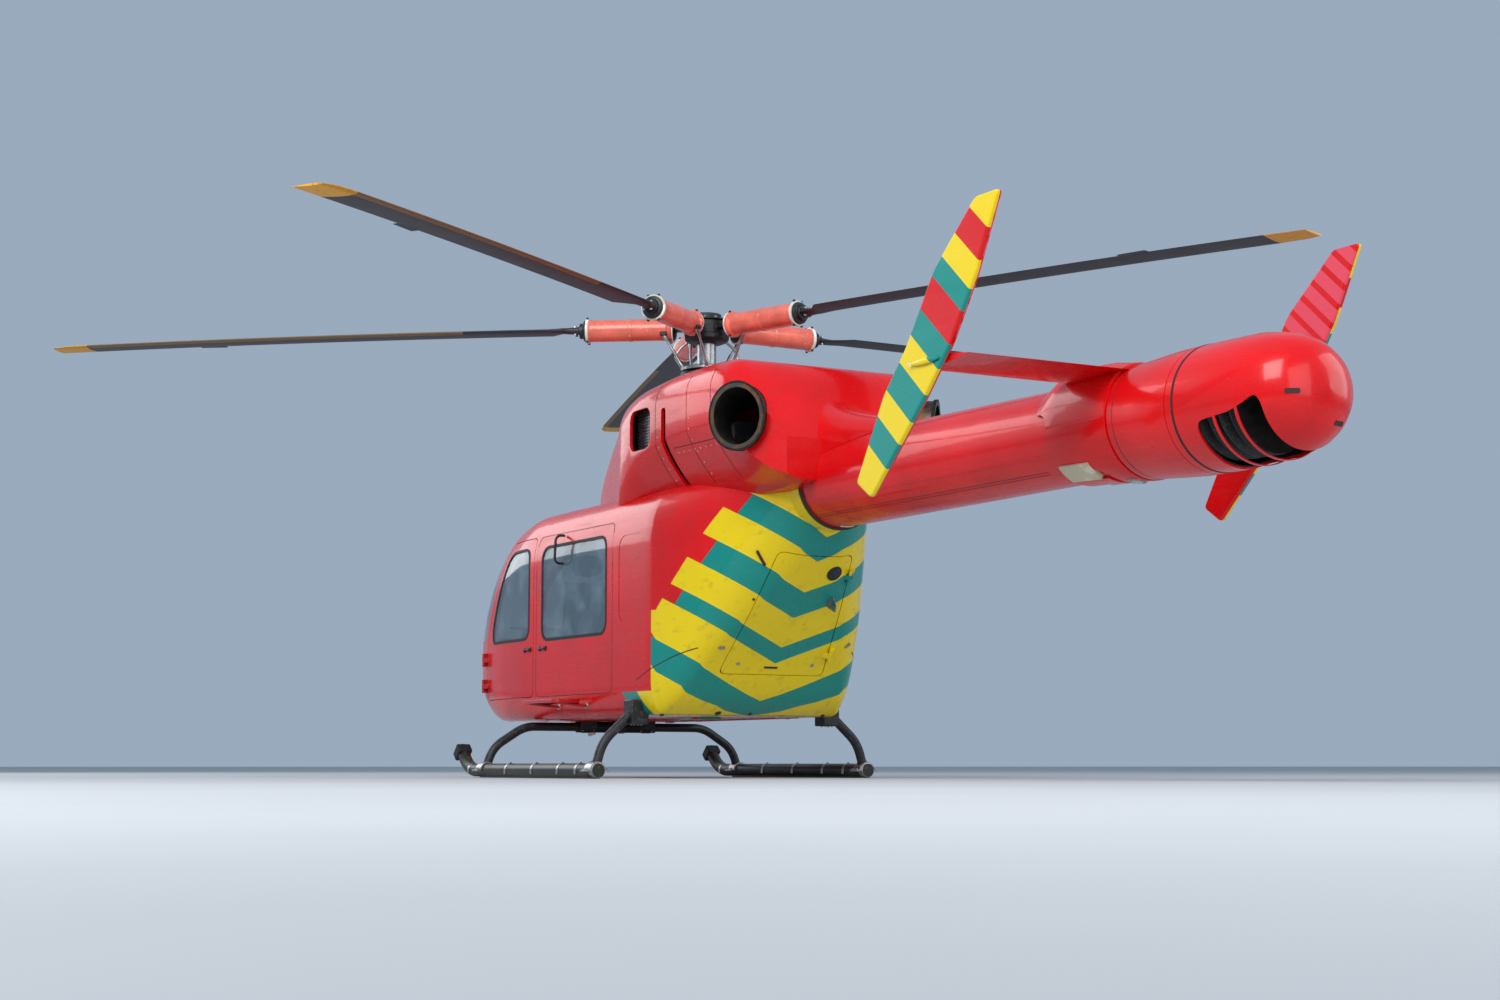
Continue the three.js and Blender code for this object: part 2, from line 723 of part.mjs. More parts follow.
const SLOTS = [
  [5890, 6010],
  [6030, 6180],
  [6200, 6440],
];
const SLOT_FROM = -128; // degrees about the boom's axis, port is 0 and down is -90
const SLOT_TO = -8;

/** A wedge from the boom's centre line, between two angles, drawn out along Y. */
function wedge(from, to, yFrom, yTo) {
  const reach = 480;
  const count = 5;
  const points = [[0, BOOM_Z]];
  for (let i = 0; i <= count; i += 1) {
    const angle = THREE.MathUtils.degToRad(from + ((to - from) * i) / count);
    points.push([reach * Math.cos(angle), BOOM_Z + reach * Math.sin(angle)]);
  }
  return prismY(points, yFrom, yTo);
}

const STUB = 45;
const coreEnd = 6200;
const thrusterCore = turned([
  [0, coreEnd - WALL_THIN],
  [290, coreEnd - WALL_THIN],
  [290, BOOM_END - 40],
  [BOOM_END_RADIUS - WALL_THIN - SEAT, BOOM_END - 40],
  [BOOM_END_RADIUS - WALL_THIN - SEAT, BOOM_END - 4],
  [300, BOOM_END],
  [300, coreEnd],
  [STUB, coreEnd],
  [STUB, coreEnd + 90],
  [0, coreEnd + 90],
]);
addPiece('thruster_core', cut(thrusterCore, wedge(-150, 0, 5880, 6160)), 'blackMetal');

const thrusterCone = turned([
  [0, coreEnd + 95],
  [STUB + 0.5, coreEnd + 95],
  [STUB + 0.5, coreEnd + 6],
  [STUB + 30, coreEnd + 6],
  [STUB + 30, 6480],
  [235, 6480],
  [298, 6380],
  [338, 6180],
  [BOOM_END_RADIUS - 12, BOOM_END + CONE_GAP],
  [BOOM_END_RADIUS, BOOM_END + CONE_GAP],
  [350, 6200],
  [312, 6400],
  [240, 6520],
  [130, 6585],
  [0, 6600],
]);
const slotTools = SLOTS.map(([from, to]) => wedge(SLOT_FROM, SLOT_TO, from, to));
addPiece('thruster_cone', cut(thrusterCone, ...slotTools), 'redPaint');

const stabiliserOutline = [
  [STABILISER_FRONT, STABILISER_Z],
  [STABILISER_FRONT + 40, STABILISER_Z - 22],
  [STABILISER_FRONT + 160, STABILISER_Z - 32],
  [STABILISER_FRONT + STABILISER_CHORD, STABILISER_Z - 6],
  [STABILISER_FRONT + STABILISER_CHORD, STABILISER_Z + 6],
  [STABILISER_FRONT + 160, STABILISER_Z + 32],
  [STABILISER_FRONT + 40, STABILISER_Z + 22],
];
const saddleOutline = [
  [-330, 2160],
  [330, 2160],
  [260, 2300],
  [190, 2350],
  [100, 2376],
  [-100, 2376],
  [-190, 2350],
  [-260, 2300],
];
const stabiliser = join(
  prismX(stabiliserOutline, -STABILISER_SPAN / 2, STABILISER_SPAN / 2),
  prismY(saddleOutline, STABILISER_FRONT - 60, STABILISER_FRONT + STABILISER_CHORD - 70),
);
addPiece('stabiliser', cut(stabiliser, boomTool), 'redPaint');
SIDES.forEach(([name, side]) => {
  const near = STABILISER_SPAN / 2 + SEAT;
  addPiece(`fin_${name}`, prismX(FIN, side * near, side * (near + FIN_THICKNESS), 30), 'redPaint');
});

// Engines, gearbox, cowl and exhausts on the roof deck

const gearbox = cut(box([-230, -330, 2040], [230, 330, 2600]), bodyTool);
addPiece('gearbox', gearbox, 'steel');
const ENGINE_REAR = 1350;
SIDES.forEach(([name, side]) => {
  const block = box([side * 160, 560, 2040], [side * 520, ENGINE_REAR, 2480]);
  addPiece(`engine_${name}`, cut(block, bodyTool), 'steel');
});

const PIPE_RADIUS = 175;
const PIPE_WALL = 15;
const PIPE_SEAM = 6; // gap between a pipe and the cowl
const PIPE_BEND = 150;

/** The middle line of an exhaust pipe: from a place behind the engine to a distance past the mouth. */
function pipePath(side, start, beyond) {
  return [
    [side * 400, ENGINE_REAR + start, 2390],
    [side * 430, 1735, 2450],
    [side * (810 + 0.93 * beyond), 1882 + 0.36 * beyond, 2425 - 0.06 * beyond],
  ];
}
const behindEngine = box([-FAR, ENGINE_REAR + SEAT, 1900], [FAR, 2600, 3000]);
const pipes = SIDES.map(([, side]) => ({
  shape: cut(
    tube(pipePath(side, -60, 0), PIPE_RADIUS, PIPE_BEND, 14, 16).intersect(behindEngine),
    tube(pipePath(side, 60, 50), PIPE_RADIUS - PIPE_WALL, PIPE_BEND, 14, 16),
    bodyTool,
  ),
  tool: tube(pipePath(side, -60, 250), PIPE_RADIUS + PIPE_SEAM, PIPE_BEND, 14, 16),
}));
SIDES.forEach(([name], i) => addPiece(`exhaust_${name}`, pipes[i].shape, 'exhaust'));

const MAST_RADIUS = 72;
const MAST_TOP = ROTOR_Z - 120;
const cowlOuter = join(
  sectionSolid(COWL, COWL[0][0], COWL_END, 0),
  sectionSolid(FAIRING, FAIRING[0][0], FAIRING.at(-1)[0], 0),
);
const cowlInner = sectionSolid(COWL, -1330, COWL_END - COWL_WALL, -COWL_WALL);
const cowlShape = cut(
  cowlOuter,
  cowlInner,
  bodyTool,
  boomTool,
  bar([0, 0, 2500], [0, 0, 3000], 230, 16),
  ...pipes.map((pipe) => pipe.tool),
  ...SIDES.map(([, side]) => prismX(INTAKE, side * 300, side * FAR, 90)),
);
addPiece('engine_cowl', cowlShape, 'redPaint');

// Rotor: fixed mast and swashplate, then what turns

addPiece('rotor_mast', bar([0, 0, 2600 + SEAT], [0, 0, MAST_TOP], MAST_RADIUS, 24), 'steel');

/** A flat ring about the rotor's axis. */
function ring(inner, outer, low, high, sides = 20) {
  return cut(
    bar([0, 0, low], [0, 0, high], outer, sides),
    bar([0, 0, low - 1], [0, 0, high + 1], inner, sides),
  );
}
const SWASH_Z = 3020;
addPiece('swashplate', ring(MAST_RADIUS + SEAT, 200, SWASH_Z, SWASH_Z + 40, 24), 'blackMetal');

// The pitch case that holds one blade, along +X, as [radius, x]
const CASE_END = 980;
const caseProfile = [
  [0, 90],
  [55, 90],
  [60, 240],
  [98, 250],
  [98, 300],
  [84, 305],
  [84, 900],
  [96, 905],
  [96, 950],
  [60, 952],
  [60, CASE_END],
  [0, CASE_END],
];
const caseGeometry = new THREE.LatheGeometry(caseProfile.map(([r, x]) => new THREE.Vector2(r, x)), 10)
  .rotateZ(-Math.PI / 2)
  .translate(0, 0, ROTOR_Z);
const bladeAngles = Array.from(
  { length: BLADE_COUNT }, (_, i) => FIRST_BLADE + (360 * i) / BLADE_COUNT - 90,
);

/** A pitch link from the turning ring up to the case of one blade. */
function pitchLink(degrees) {
  const angle = THREE.MathUtils.degToRad(degrees + 27);
  const far = THREE.MathUtils.degToRad(degrees + 12);
  return bar(
    [190 * Math.cos(angle), 190 * Math.sin(angle), SWASH_Z + 60],
    [330 * Math.cos(far), 330 * Math.sin(far), ROTOR_Z - 40],
    14,
    6,
  );
}
const rotorHead = join(
  bar([0, 0, MAST_TOP + SEAT], [0, 0, ROTOR_Z + 70], 170, 20),
  bar([0, 0, ROTOR_Z + 60], [0, 0, ROTOR_Z + 110], 110, 20),
  ring(MAST_RADIUS + 12, 195, SWASH_Z + 46, SWASH_Z + 82),
  ...bladeAngles.map((degrees) => turnedAboutZ(caseGeometry, degrees)),
  ...bladeAngles.map(pitchLink),
);
addPiece('rotor_head', rotorHead, 'coral');

// One blade along +X with its leading edge to +Y, as [x, leading edge, trailing edge, thickness]
const BLADE = [
  [CASE_END + SEAT, 52, -52, 60],
  [1070, 55, -60, 46],
  [1105, 76, -70, 40],
  [1220, 76, -178, 32],
  [1900, 76, -178, 30],
  [3500, 76, -178, 30],
  [4860, 76, -178, 28],
  [5060, 66, -178, 22],
  [ROTOR_RADIUS, 30, -178, 12],
];
const AIRFOIL = [
  // share of the chord from the leading edge, share of the thickness
  [0, 0],
  [0.03, 0.28],
  [0.12, 0.45],
  [0.3, 0.5],
  [0.6, 0.34],
  [1, 0.04],
  [1, -0.04],
  [0.6, -0.34],
  [0.3, -0.5],
  [0.12, -0.45],
  [0.03, -0.28],
];
const bladeGeometry = loft(BLADE.map(([x, front, back, thickness]) => {
  const share = (x - CASE_END) / (ROTOR_RADIUS - CASE_END);
  const z = ROTOR_Z - BLADE_DROOP * share * share;
  return AIRFOIL.map(([along, up]) => [x, front + (back - front) * along, z + thickness * up]);
}));
bladeAngles.forEach((degrees, i) => {
  addPiece(`blade_${i + 1}`, turnedAboutZ(bladeGeometry, degrees), 'blade');
});

// Skids, cross tubes and steps

const skidShapes = SIDES.map(([, side]) => {
  const x = side * SKID_X;
  const path = [
    [x, SKID_REAR, SKID_Z],
    [x, SKID_FRONT + 180, SKID_Z],
    [x, SKID_FRONT, SKID_Z + TOE_RISE],
  ];
  return join(
    tube(path, SKID_RADIUS, 130, 26),
    box([x - 22, -1560, 0], [x + 22, SKID_REAR - 20, 20]),
  );
});
const skidTools = SIDES.map(([, side]) => {
  const x = side * SKID_X;
  return join(
    bar([x, SKID_FRONT + 150, SKID_Z], [x, SKID_REAR + 50, SKID_Z], SKID_RADIUS + 1, 20),
    box([x - 23, -1700, 0], [x + 23, SKID_REAR, 21]),
  );
});
SIDES.forEach(([name], i) => addPiece(`skid_${name}`, skidShapes[i], 'darkSkid'));

/** A clamp of a cross tube round a skid, open below. */
function skidClamp(side, y) {
  const x = side * SKID_X;
  return box([x - 64, y - 50, SKID_Z - 10], [x + 64, y + 50, SKID_Z + 66]);
}

const frontTube = join(
  tube(frontTubePath, TUBE_RADIUS, 90),
  bar([-350, FRONT_TUBE_Y, 398], [350, FRONT_TUBE_Y, 398], TUBE_RADIUS + 10, 14),
  ...SIDES.map(([, side]) => box(
    [side * 235, FRONT_TUBE_Y - 45, 390], [side * 305, FRONT_TUBE_Y + 45, 452],
  )),
  ...SIDES.map(([, side]) => skidClamp(side, FRONT_TUBE_Y)),
);
addPiece('front_cross_tube', cut(frontTube, bodyTool, ...skidTools), 'blackMetal');
const rearTube = join(
  tube(rearTubePath, TUBE_RADIUS, 90),
  ...SIDES.map(([, side]) => skidClamp(side, REAR_TUBE_Y)),
);
addPiece('rear_cross_tube', cut(rearTube, ...skidTools), 'blackMetal');

const STEP = { near: 860, far: 1090, front: -930, rear: -360, low: 556, high: 582 };
SIDES.forEach(([name, side]) => {
  const plate = prismZ(
    [[STEP.near, STEP.front], [STEP.far, STEP.front], [STEP.far, STEP.rear], [STEP.near, STEP.rear]]
      .map(([x, y]) => [side * x, y]),
    STEP.low, STEP.high, 50,
  );
  const arms = [STEP.front + 110, STEP.rear - 110].map((y) => tube(
    [[side * 760, y, 540], [side * 840, y, 540], [side * 1040, y, STEP.low + 6]], 13, 30, 8, 8,
  ));
  addPiece(`step_${name}`, cut(join(plate, ...arms), bodyTool), 'redPaint');
});

// What shows through the glass: instrument panel and seats

const onFloor = FLOOR_TOP + SEAT;
addPiece('instrument_panel', join(
  box([-150, -2480, onFloor], [150, -2000, 900]),
  prismX([[-2600, 900], [-2280, 880], [-2250, 1190], [-2420, 1230]], -400, 400, 20),
), 'trim');
const seatOutline = [
  [-1830, 700],
  [-1830, 960],
  [-1790, 990],
  [-1420, 960],
  [-1330, 1560],
  [-1310, 1780],
  [-1230, 1780],
  [-1200, 1560],
  [-1290, 900],
  [-1310, 700],
];
SIDES.forEach(([name, side]) => {
  const seat = join(
    prismX(seatOutline, side * 150, side * 610, 30),
    box([side * 220, -1720, onFloor], [side * 540, -1400, 720]),
  );
  addPiece(`crew_seat_${name}`, seat, 'seatCloth');
});
const benchOutline = [
  [60, 700],
  [60, 960],
  [100, 990],
  [440, 960],
  [500, 1560],
  [590, 1560],
  [560, 700],
];
addPiece('cabin_bench', join(
  prismX(benchOutline, -640, 640, 30),
  box([-560, 160, onFloor], [560, 500, 720]),
), 'seatCloth');

const placed = new THREE.Group();
placed.position.set(0, 0, -HOOK_FACE);
placed.add(helicopter);

export default placed;
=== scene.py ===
# %% [markdown]
# A light rescue helicopter that stands on its skids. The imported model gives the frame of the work:
# every node, body and joint. This lesson builds the looks around that frame, with curved skins worked
# out as whole arrays of numbers and with finishes made of shader nodes.

# %% The frame and its size
import math

import bpy
import numpy as np
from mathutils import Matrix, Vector


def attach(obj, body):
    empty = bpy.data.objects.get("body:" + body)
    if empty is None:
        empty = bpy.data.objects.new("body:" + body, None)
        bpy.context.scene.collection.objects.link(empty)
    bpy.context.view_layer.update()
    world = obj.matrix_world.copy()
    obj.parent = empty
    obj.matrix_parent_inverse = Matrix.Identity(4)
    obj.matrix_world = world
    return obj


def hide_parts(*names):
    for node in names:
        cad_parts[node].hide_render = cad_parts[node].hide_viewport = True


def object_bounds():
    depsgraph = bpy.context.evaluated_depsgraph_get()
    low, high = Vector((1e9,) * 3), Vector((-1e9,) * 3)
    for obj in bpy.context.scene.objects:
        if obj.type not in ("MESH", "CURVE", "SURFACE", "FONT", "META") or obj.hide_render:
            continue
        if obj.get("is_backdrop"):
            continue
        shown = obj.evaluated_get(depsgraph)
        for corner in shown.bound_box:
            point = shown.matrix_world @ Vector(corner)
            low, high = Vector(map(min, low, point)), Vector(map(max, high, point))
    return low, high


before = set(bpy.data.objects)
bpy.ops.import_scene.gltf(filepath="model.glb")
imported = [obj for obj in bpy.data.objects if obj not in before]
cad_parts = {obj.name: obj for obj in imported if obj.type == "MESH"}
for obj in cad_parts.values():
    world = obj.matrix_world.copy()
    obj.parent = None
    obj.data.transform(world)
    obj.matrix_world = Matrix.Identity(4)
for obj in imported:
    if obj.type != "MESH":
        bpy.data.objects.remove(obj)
CAD_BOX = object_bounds()
GROUND = -0.438  # the floor under the skids, in the frame's height
print("frame from", [round(v, 3) for v in CAD_BOX[0]], "to", [round(v, 3) for v in CAD_BOX[1]])

# %% [markdown]
# A mesh here is a pair: an array of points and a list of faces. All heights are metres above the
# floor, and only the last step lowers them into the frame. A solid could be modelled by hand in edit
# mode, but a formula gives the same skin each time, so small helpers turn formulas into meshes.

# %% Meshes from arrays
SIDES = (("port", 1), ("starboard", -1))
PORT, AFT, UP = (1, 0, 0), (0, 1, 0), (0, 0, 1)  # the frame's directions


def grid(points, close_rows=False, close_columns=False):
    """Faces over an array of points [row, column, xyz]. Point (i, j) joins (i, j+1), (i+1, j+1), (i+1, j)."""
    points = np.asarray(points, float)
    rows, columns = points.shape[:2]
    i = np.arange(rows if close_rows else rows - 1)[:, None]
    j = np.arange(columns if close_columns else columns - 1)[None, :]
    near, far = (i + 1) % rows, (j + 1) % columns
    corners = [i * columns + j, i * columns + far, near * columns + far, near * columns + j]
    faces = np.stack([np.broadcast_to(c, (i.size, j.size)) for c in corners], -1).reshape(-1, 4)
    return points.reshape(-1, 3), faces.tolist()


def outward(mesh):
    """Turns a closed mesh's faces out: the sum of a . (b x c) / 6 over its triangles is positive."""
    points, faces = mesh
    fans = np.array([(f[0], f[k], f[k + 1]) for f in faces for k in range(1, len(f) - 1)])
    a, b, c = (points[fans[:, k]] for k in range(3))
    volume = np.einsum("ij,ij->", a, np.cross(b, c)) / 6
    return (points, [f[::-1] for f in faces]) if volume < 0 else (points, faces)


def capped(rings):
    """A closed mesh over rings [ring, point, xyz]: the grid between them and one flat face at each end."""
    points, faces = grid(rings, close_columns=True)
    count, last = rings.shape[1], (len(rings) - 1) * rings.shape[1]
    faces += [list(range(count))[::-1], list(range(last, last + count))]
    return outward((points, faces))


def merged(*meshes):
    """One mesh of several, their faces renumbered."""
    points, faces, start = [], [], 0
    for some, some_faces in meshes:
        points.append(np.asarray(some, float))
        faces += [[n + start for n in f] for f in some_faces]
        start += len(some)
    return np.concatenate(points), faces


EDGE_ANGLE = 0.7  # an edge steeper than this, in radians, is rounded


def piece(name, mesh, body, finish, slot=None, replaces=(), smooth=32, edge=0, edge_steps=2):
    """Puts a mesh into the scene: lowered to the frame, shaded smooth up to an angle, riding on its body."""
    points, faces = mesh
    data = bpy.data.meshes.new(name)
    data.from_pydata(np.asarray(points) + (0, 0, GROUND), [], faces)
    data.validate()
    return finished(name, data, body, finish, slot, replaces, smooth, edge, edge_steps)


def finished(name, data, body, finish, slot=None, replaces=(), smooth=32, edge=0, edge_steps=2):
    """The object of a mesh in the frame, with its finish and body, its edges rounded by a width. The slot is
    not used.
    """
    data.name = name
    data.shade_smooth()
    data.set_sharp_from_angle(angle=math.radians(smooth))
    item = bpy.data.objects.new(name, data)
    bpy.context.scene.collection.objects.link(item)
    data.materials.clear()
    data.materials.append(finish)
    if edge:
        modifier = item.modifiers.new("Bevel", "BEVEL")
        modifier.width, modifier.segments = edge, edge_steps
        modifier.limit_method, modifier.angle_limit = "ANGLE", EDGE_ANGLE
    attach(item, body)
    if replaces:
        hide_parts(*replaces)
    print(f"{name}: {len(data.vertices)} points, {len(data.polygons)} faces, on {body}")
    return item


# %% [markdown]
# Round bars, pipes, rings and bent tubes all come from two ideas: a profile turned about an axis, and
# a circle carried along a path. Both are grids of points.

# %% Turned and swept forms
def unit(vector):
    """A vector or rows of vectors, each divided by its length."""
    vector = np.asarray(vector, float)
    return vector / np.linalg.norm(vector, axis=-1, keepdims=True)


def turned(profile, origin, axis, sides=48):
    """A profile of (distance along the axis, radius) turned about it: p = o + a d + r (u cos t + v sin t)."""
    profile = np.asarray(profile, float)
    a = unit(axis)
    u = unit(np.cross(a, UP if abs(a[2]) < 0.9 else AFT))
    v = np.cross(a, u)
    t = np.linspace(0, 2 * np.pi, sides, endpoint=False)
    circle = np.cos(t)[:, None] * u + np.sin(t)[:, None] * v
    rings = np.asarray(origin) + profile[:, :1, None] * a + profile[:, 1, None, None] * circle
    closed = np.allclose(profile[0], profile[-1])
    if closed:
        return outward(grid(rings[:-1], close_rows=True, close_columns=True))
    return capped(rings)


def swept(path, radius, sides=16, reference=PORT, stretch=(1, 1)):
    """A circle carried along a path: at each point it lies across the run, p + r (n cos t + b sin t)."""
    path = np.asarray(path, float)
    run = unit(np.gradient(path, axis=0))
    n = unit(np.cross(run, reference))
    b = np.cross(run, n)
    t = np.linspace(0, 2 * np.pi, sides, endpoint=False)[None, :, None]
    size = np.broadcast_to(radius, len(path))[:, None, None]
    rings = path[:, None] + size * (n[:, None] * np.cos(t) * stretch[0] + b[:, None] * np.sin(t) * stretch[1])
    return capped(rings)


def bent(points, bend, steps=9):
    """A path of straight runs whose corners are quadratic curves: (1-t)^2 a + 2t(1-t) b + t^2 c."""
    points = np.asarray(points, float)
    t = np.linspace(0, 1, steps)[:, None]
    path = [points[:1]]
    for before, corner, after in zip(points, points[1:], points[2:]):
        a = corner + unit(before - corner) * bend
        c = corner + unit(after - corner) * bend
        path.append((1 - t) ** 2 * a + 2 * t * (1 - t) * corner + t**2 * c)
    return np.concatenate(path + [points[-1:]])


def rounded(points, radius, steps=8):
    """A closed outline in a plane with each corner a quadratic curve that starts at the radius from it."""
    points = np.asarray(points, float)
    before, after = np.roll(points, 1, 0), np.roll(points, -1, 0)
    room = np.minimum(np.linalg.norm(before - points, axis=1), np.linalg.norm(after - points, axis=1)) / 2.2
    r = np.minimum(radius, room)[:, None]
    a, c = points + unit(before - points) * r, points + unit(after - points) * r
    t = np.linspace(0, 1, steps)[None, :, None]
    return ((1 - t) ** 2 * a[:, None] + 2 * t * (1 - t) * points[:, None] + t**2 * c[:, None]).reshape(-1, 2)


AXES = {
    # the directions of an outline's two numbers, and the one it is drawn out along
    "x": (AFT, UP, PORT),
    "y": (PORT, UP, AFT),
    "z": (PORT, AFT, UP),
}


def prism(points, axis, low, high, radius=0.0, steps=8):
    """An outline drawn out along an axis between two places, its corners rounded by a radius."""
    flat = rounded(points, radius, steps) if radius else np.asarray(points, float)
    across, up, along = (np.array(v, float) for v in AXES[axis])
    base = flat[:, :1] * across + flat[:, 1:] * up
    return capped(np.stack([base + along * low, base + along * high]))


def block(low, high):
    """A box between two corners."""
    (x0, y0, z0), (x1, y1, z1) = np.minimum(low, high), np.maximum(low, high)
    return prism([(x0, y0), (x1, y0), (x1, y1), (x0, y1)], "z", z0, z1)


def inset(points, distance):
    """An outline moved inwards: each edge slides along its normal, and neighbours meet where they cross."""
    points = np.asarray(points, float)
    run = unit(np.roll(points, -1, 0) - points)
    start = points + np.stack([-run[:, 1], run[:, 0]], 1) * distance
    back, back_run = np.roll(start, 1, 0), np.roll(run, 1, 0)
    gap = start - back
    cross = back_run[:, 0] * run[:, 1] - back_run[:, 1] * run[:, 0]
    t = (gap[:, 0] * run[:, 1] - gap[:, 1] * run[:, 0]) / cross
    return back + back_run * t[:, None]


# %% [markdown]
# Doors, windows and hatches are cut from one curved skin, as a fitter cuts them from one moulding, so
# that their edges match. A Boolean modifier cuts closed meshes. The result is kept as a plain mesh.

# %% Cutting one mesh with others
def carved(base, *steps):
    """Base after steps of (operation, mesh), each INTERSECT, DIFFERENCE or UNION, as a mesh in the frame."""
    items = []
    for mesh in [base] + [tool for _, tool in steps]:
        data = bpy.data.meshes.new("blank")
        data.from_pydata(np.asarray(mesh[0]) + (0, 0, GROUND), [], mesh[1])
        item = bpy.data.objects.new("blank", data)
        bpy.context.scene.collection.objects.link(item)
        items.append(item)
    for (operation, _), tool in zip(steps, items[1:]):
        cutter = items[0].modifiers.new(operation, "BOOLEAN")
        cutter.operation, cutter.solver, cutter.object = operation, "MANIFOLD", tool
    bpy.context.view_layer.update()
    shaped = items[0].evaluated_get(bpy.context.evaluated_depsgraph_get())
    result = bpy.data.meshes.new_from_object(shaped)
    for item in items:
        data = item.data
        bpy.data.objects.remove(item)
        bpy.data.meshes.remove(data)
    return result


def away(*tools):
    """The steps that cut each of the tools away."""
    return [("DIFFERENCE", tool) for tool in tools]


# %% [markdown]
# The body is drawn as cross sections along its length: a rectangle with four elliptical corners. The
# columns say how wide, how low and how high it is, and how much of it the corners take. The last one
# is the power of the lower corners: 2 is an ellipse, and nearer 1 they are flat cuts. Between two
# rows each column follows a cubic curve that never overshoots, so a few rows make a fair skin.

# %% Cross sections of the body
BODY = np.array([
    # y, half width, bottom, top, lower corner across and up, upper corner across and down, power
    (-3.250, 0.070, 1.010, 1.150, 0.94, 0.48, 0.94, 0.48, 2.0),
    (-3.200, 0.230, 0.860, 1.290, 0.90, 0.46, 0.90, 0.50, 2.0),
    (-3.080, 0.400, 0.700, 1.450, 0.75, 0.42, 0.85, 0.54, 2.0),
    (-2.880, 0.555, 0.560, 1.620, 0.55, 0.34, 0.72, 0.56, 2.0),
    (-2.620, 0.670, 0.480, 1.785, 0.35, 0.25, 0.60, 0.52, 2.0),
    (-2.300, 0.750, 0.455, 1.925, 0.22, 0.20, 0.46, 0.44, 2.0),
    (-1.900, 0.797, 0.450, 2.020, 0.15, 0.16, 0.36, 0.33, 2.0),
    (-1.450, 0.815, 0.450, 2.070, 0.12, 0.14, 0.31, 0.27, 2.0),
    (-0.300, 0.815, 0.450, 2.080, 0.12, 0.14, 0.30, 0.25, 2.0),
    (0.600, 0.812, 0.450, 2.090, 0.12, 0.14, 0.30, 0.25, 2.0),
    (0.760, 0.780, 0.520, 2.100, 0.15, 0.17, 0.32, 0.27, 2.0),
    (1.050, 0.685, 0.860, 2.145, 0.24, 0.25, 0.40, 0.35, 2.0),
    (1.300, 0.570, 1.160, 2.215, 0.42, 0.35, 0.55, 0.42, 2.0),
    (1.550, 0.440, 1.450, 2.285, 0.70, 0.45, 0.78, 0.47, 2.0),
    (1.750, 0.325, 1.698, 2.342, 0.94, 0.48, 0.94, 0.48, 2.0),
])
BODY_END = 1.75


def columns(table, y):
    """Each column at y by cubic pieces. A row's slope is the harmonic mean of the two slopes beside it."""
    rows, values = table[:, 0], table[:, 1:]
    slope = np.diff(values, axis=0) / np.diff(rows)[:, None]
    total = slope[:-1] + slope[1:]
    same = slope[:-1] * slope[1:] > 0
    middle = np.where(same, 2 * slope[:-1] * slope[1:] / np.where(same, total, 1), 0)
    tangent = np.vstack([slope[:1], middle, slope[-1:]])
    y = np.clip(y, rows[0], rows[-1])
    k = np.clip(np.searchsorted(rows, y, side="right") - 1, 0, len(rows) - 2)
    span = (rows[k + 1] - rows[k])[:, None]
    t = (y - rows[k])[:, None] / span
    rise, start, end = values[k + 1] - values[k], tangent[k] * span, tangent[k + 1] * span
    return (values[k] + start * t + (3 * rise - 2 * start - end) * t**2 + (start + end - 2 * rise) * t**3).T


CORNER_STEPS = 12  # faces round each corner of a section


def sections(table, y, offset):
    """Rings [place, point, xyz]: a corner is half - a + a c, edge - u + u s, with c = (cos t)^(2 / p)."""
    y = np.atleast_1d(np.asarray(y, float))
    half, low, high, low_across, low_up, high_across, high_down, power = columns(table, y)
    half, low, high = half + offset, low - offset, high + offset
    height = high - low
    turn = np.radians(np.linspace(0, 90, CORNER_STEPS + 1))
    runs = []
    for side, level, across, up, start in (
        (1, -1, low_across * half, low_up * height, -90),
        (1, 1, high_across * half, high_down * height, 0),
        (-1, 1, high_across * half, high_down * height, 90),
        (-1, -1, low_across * half, low_up * height, 180),
    ):
        t = math.radians(start) + turn[None, :]
        bend = (np.where(level < 0, 2 / power, 1))[:, None]
        c, s = (np.sign(v) * np.abs(v) ** bend for v in (np.cos(t), np.sin(t)))
        x = side * (half - across)[:, None] + across[:, None] * c
        z = (high - up if level > 0 else low + up)[:, None] + up[:, None] * s
        runs.append(np.stack([x, np.broadcast_to(y[:, None], x.shape), z], -1))
    return np.concatenate(runs, 1)


def skin(table, start, end, offset, step=0.05, dome=0.0):
    """A closed mesh over the sections from start to end. A dome rounds the front: rings shrink by cos t."""
    y = np.linspace(start, end, max(2, int(round((end - start) / step)) + 1))
    rings = sections(table, y, offset)
    if dome:
        t = np.radians(np.linspace(86, 12, 6))[:, None, None]
        centre = rings[0].mean(0)
        front = centre + (rings[0] - centre) * np.cos(t) - np.array((0, dome, 0)) * np.sin(t)
        rings = np.concatenate([front, rings])
    return capped(rings)


def skin_x(table, y, z, offset=0.0):
    """How far out the skin is at (y, z): the half width, less a - a (1 - (d/u)^p)^(1/p) inside a corner."""
    y, z = np.broadcast_arrays(np.asarray(y, float), np.asarray(z, float))
    half, low, high, la, lu, ha, hd, power = columns(table, y.ravel())
    half, low, high, z = half + offset, low - offset, high + offset, z.ravel()
    height = high - low
    down = np.clip((low + lu * height - z) / (lu * height), 0, 1)
    up = np.clip((z - high + hd * height) / (hd * height), 0, 1)
    inset_low = 1 - (1 - down**power) ** (1 / power)
    x = half - la * half * inset_low - ha * half * (1 - np.sqrt(1 - up**2))
    return x.reshape(y.shape)


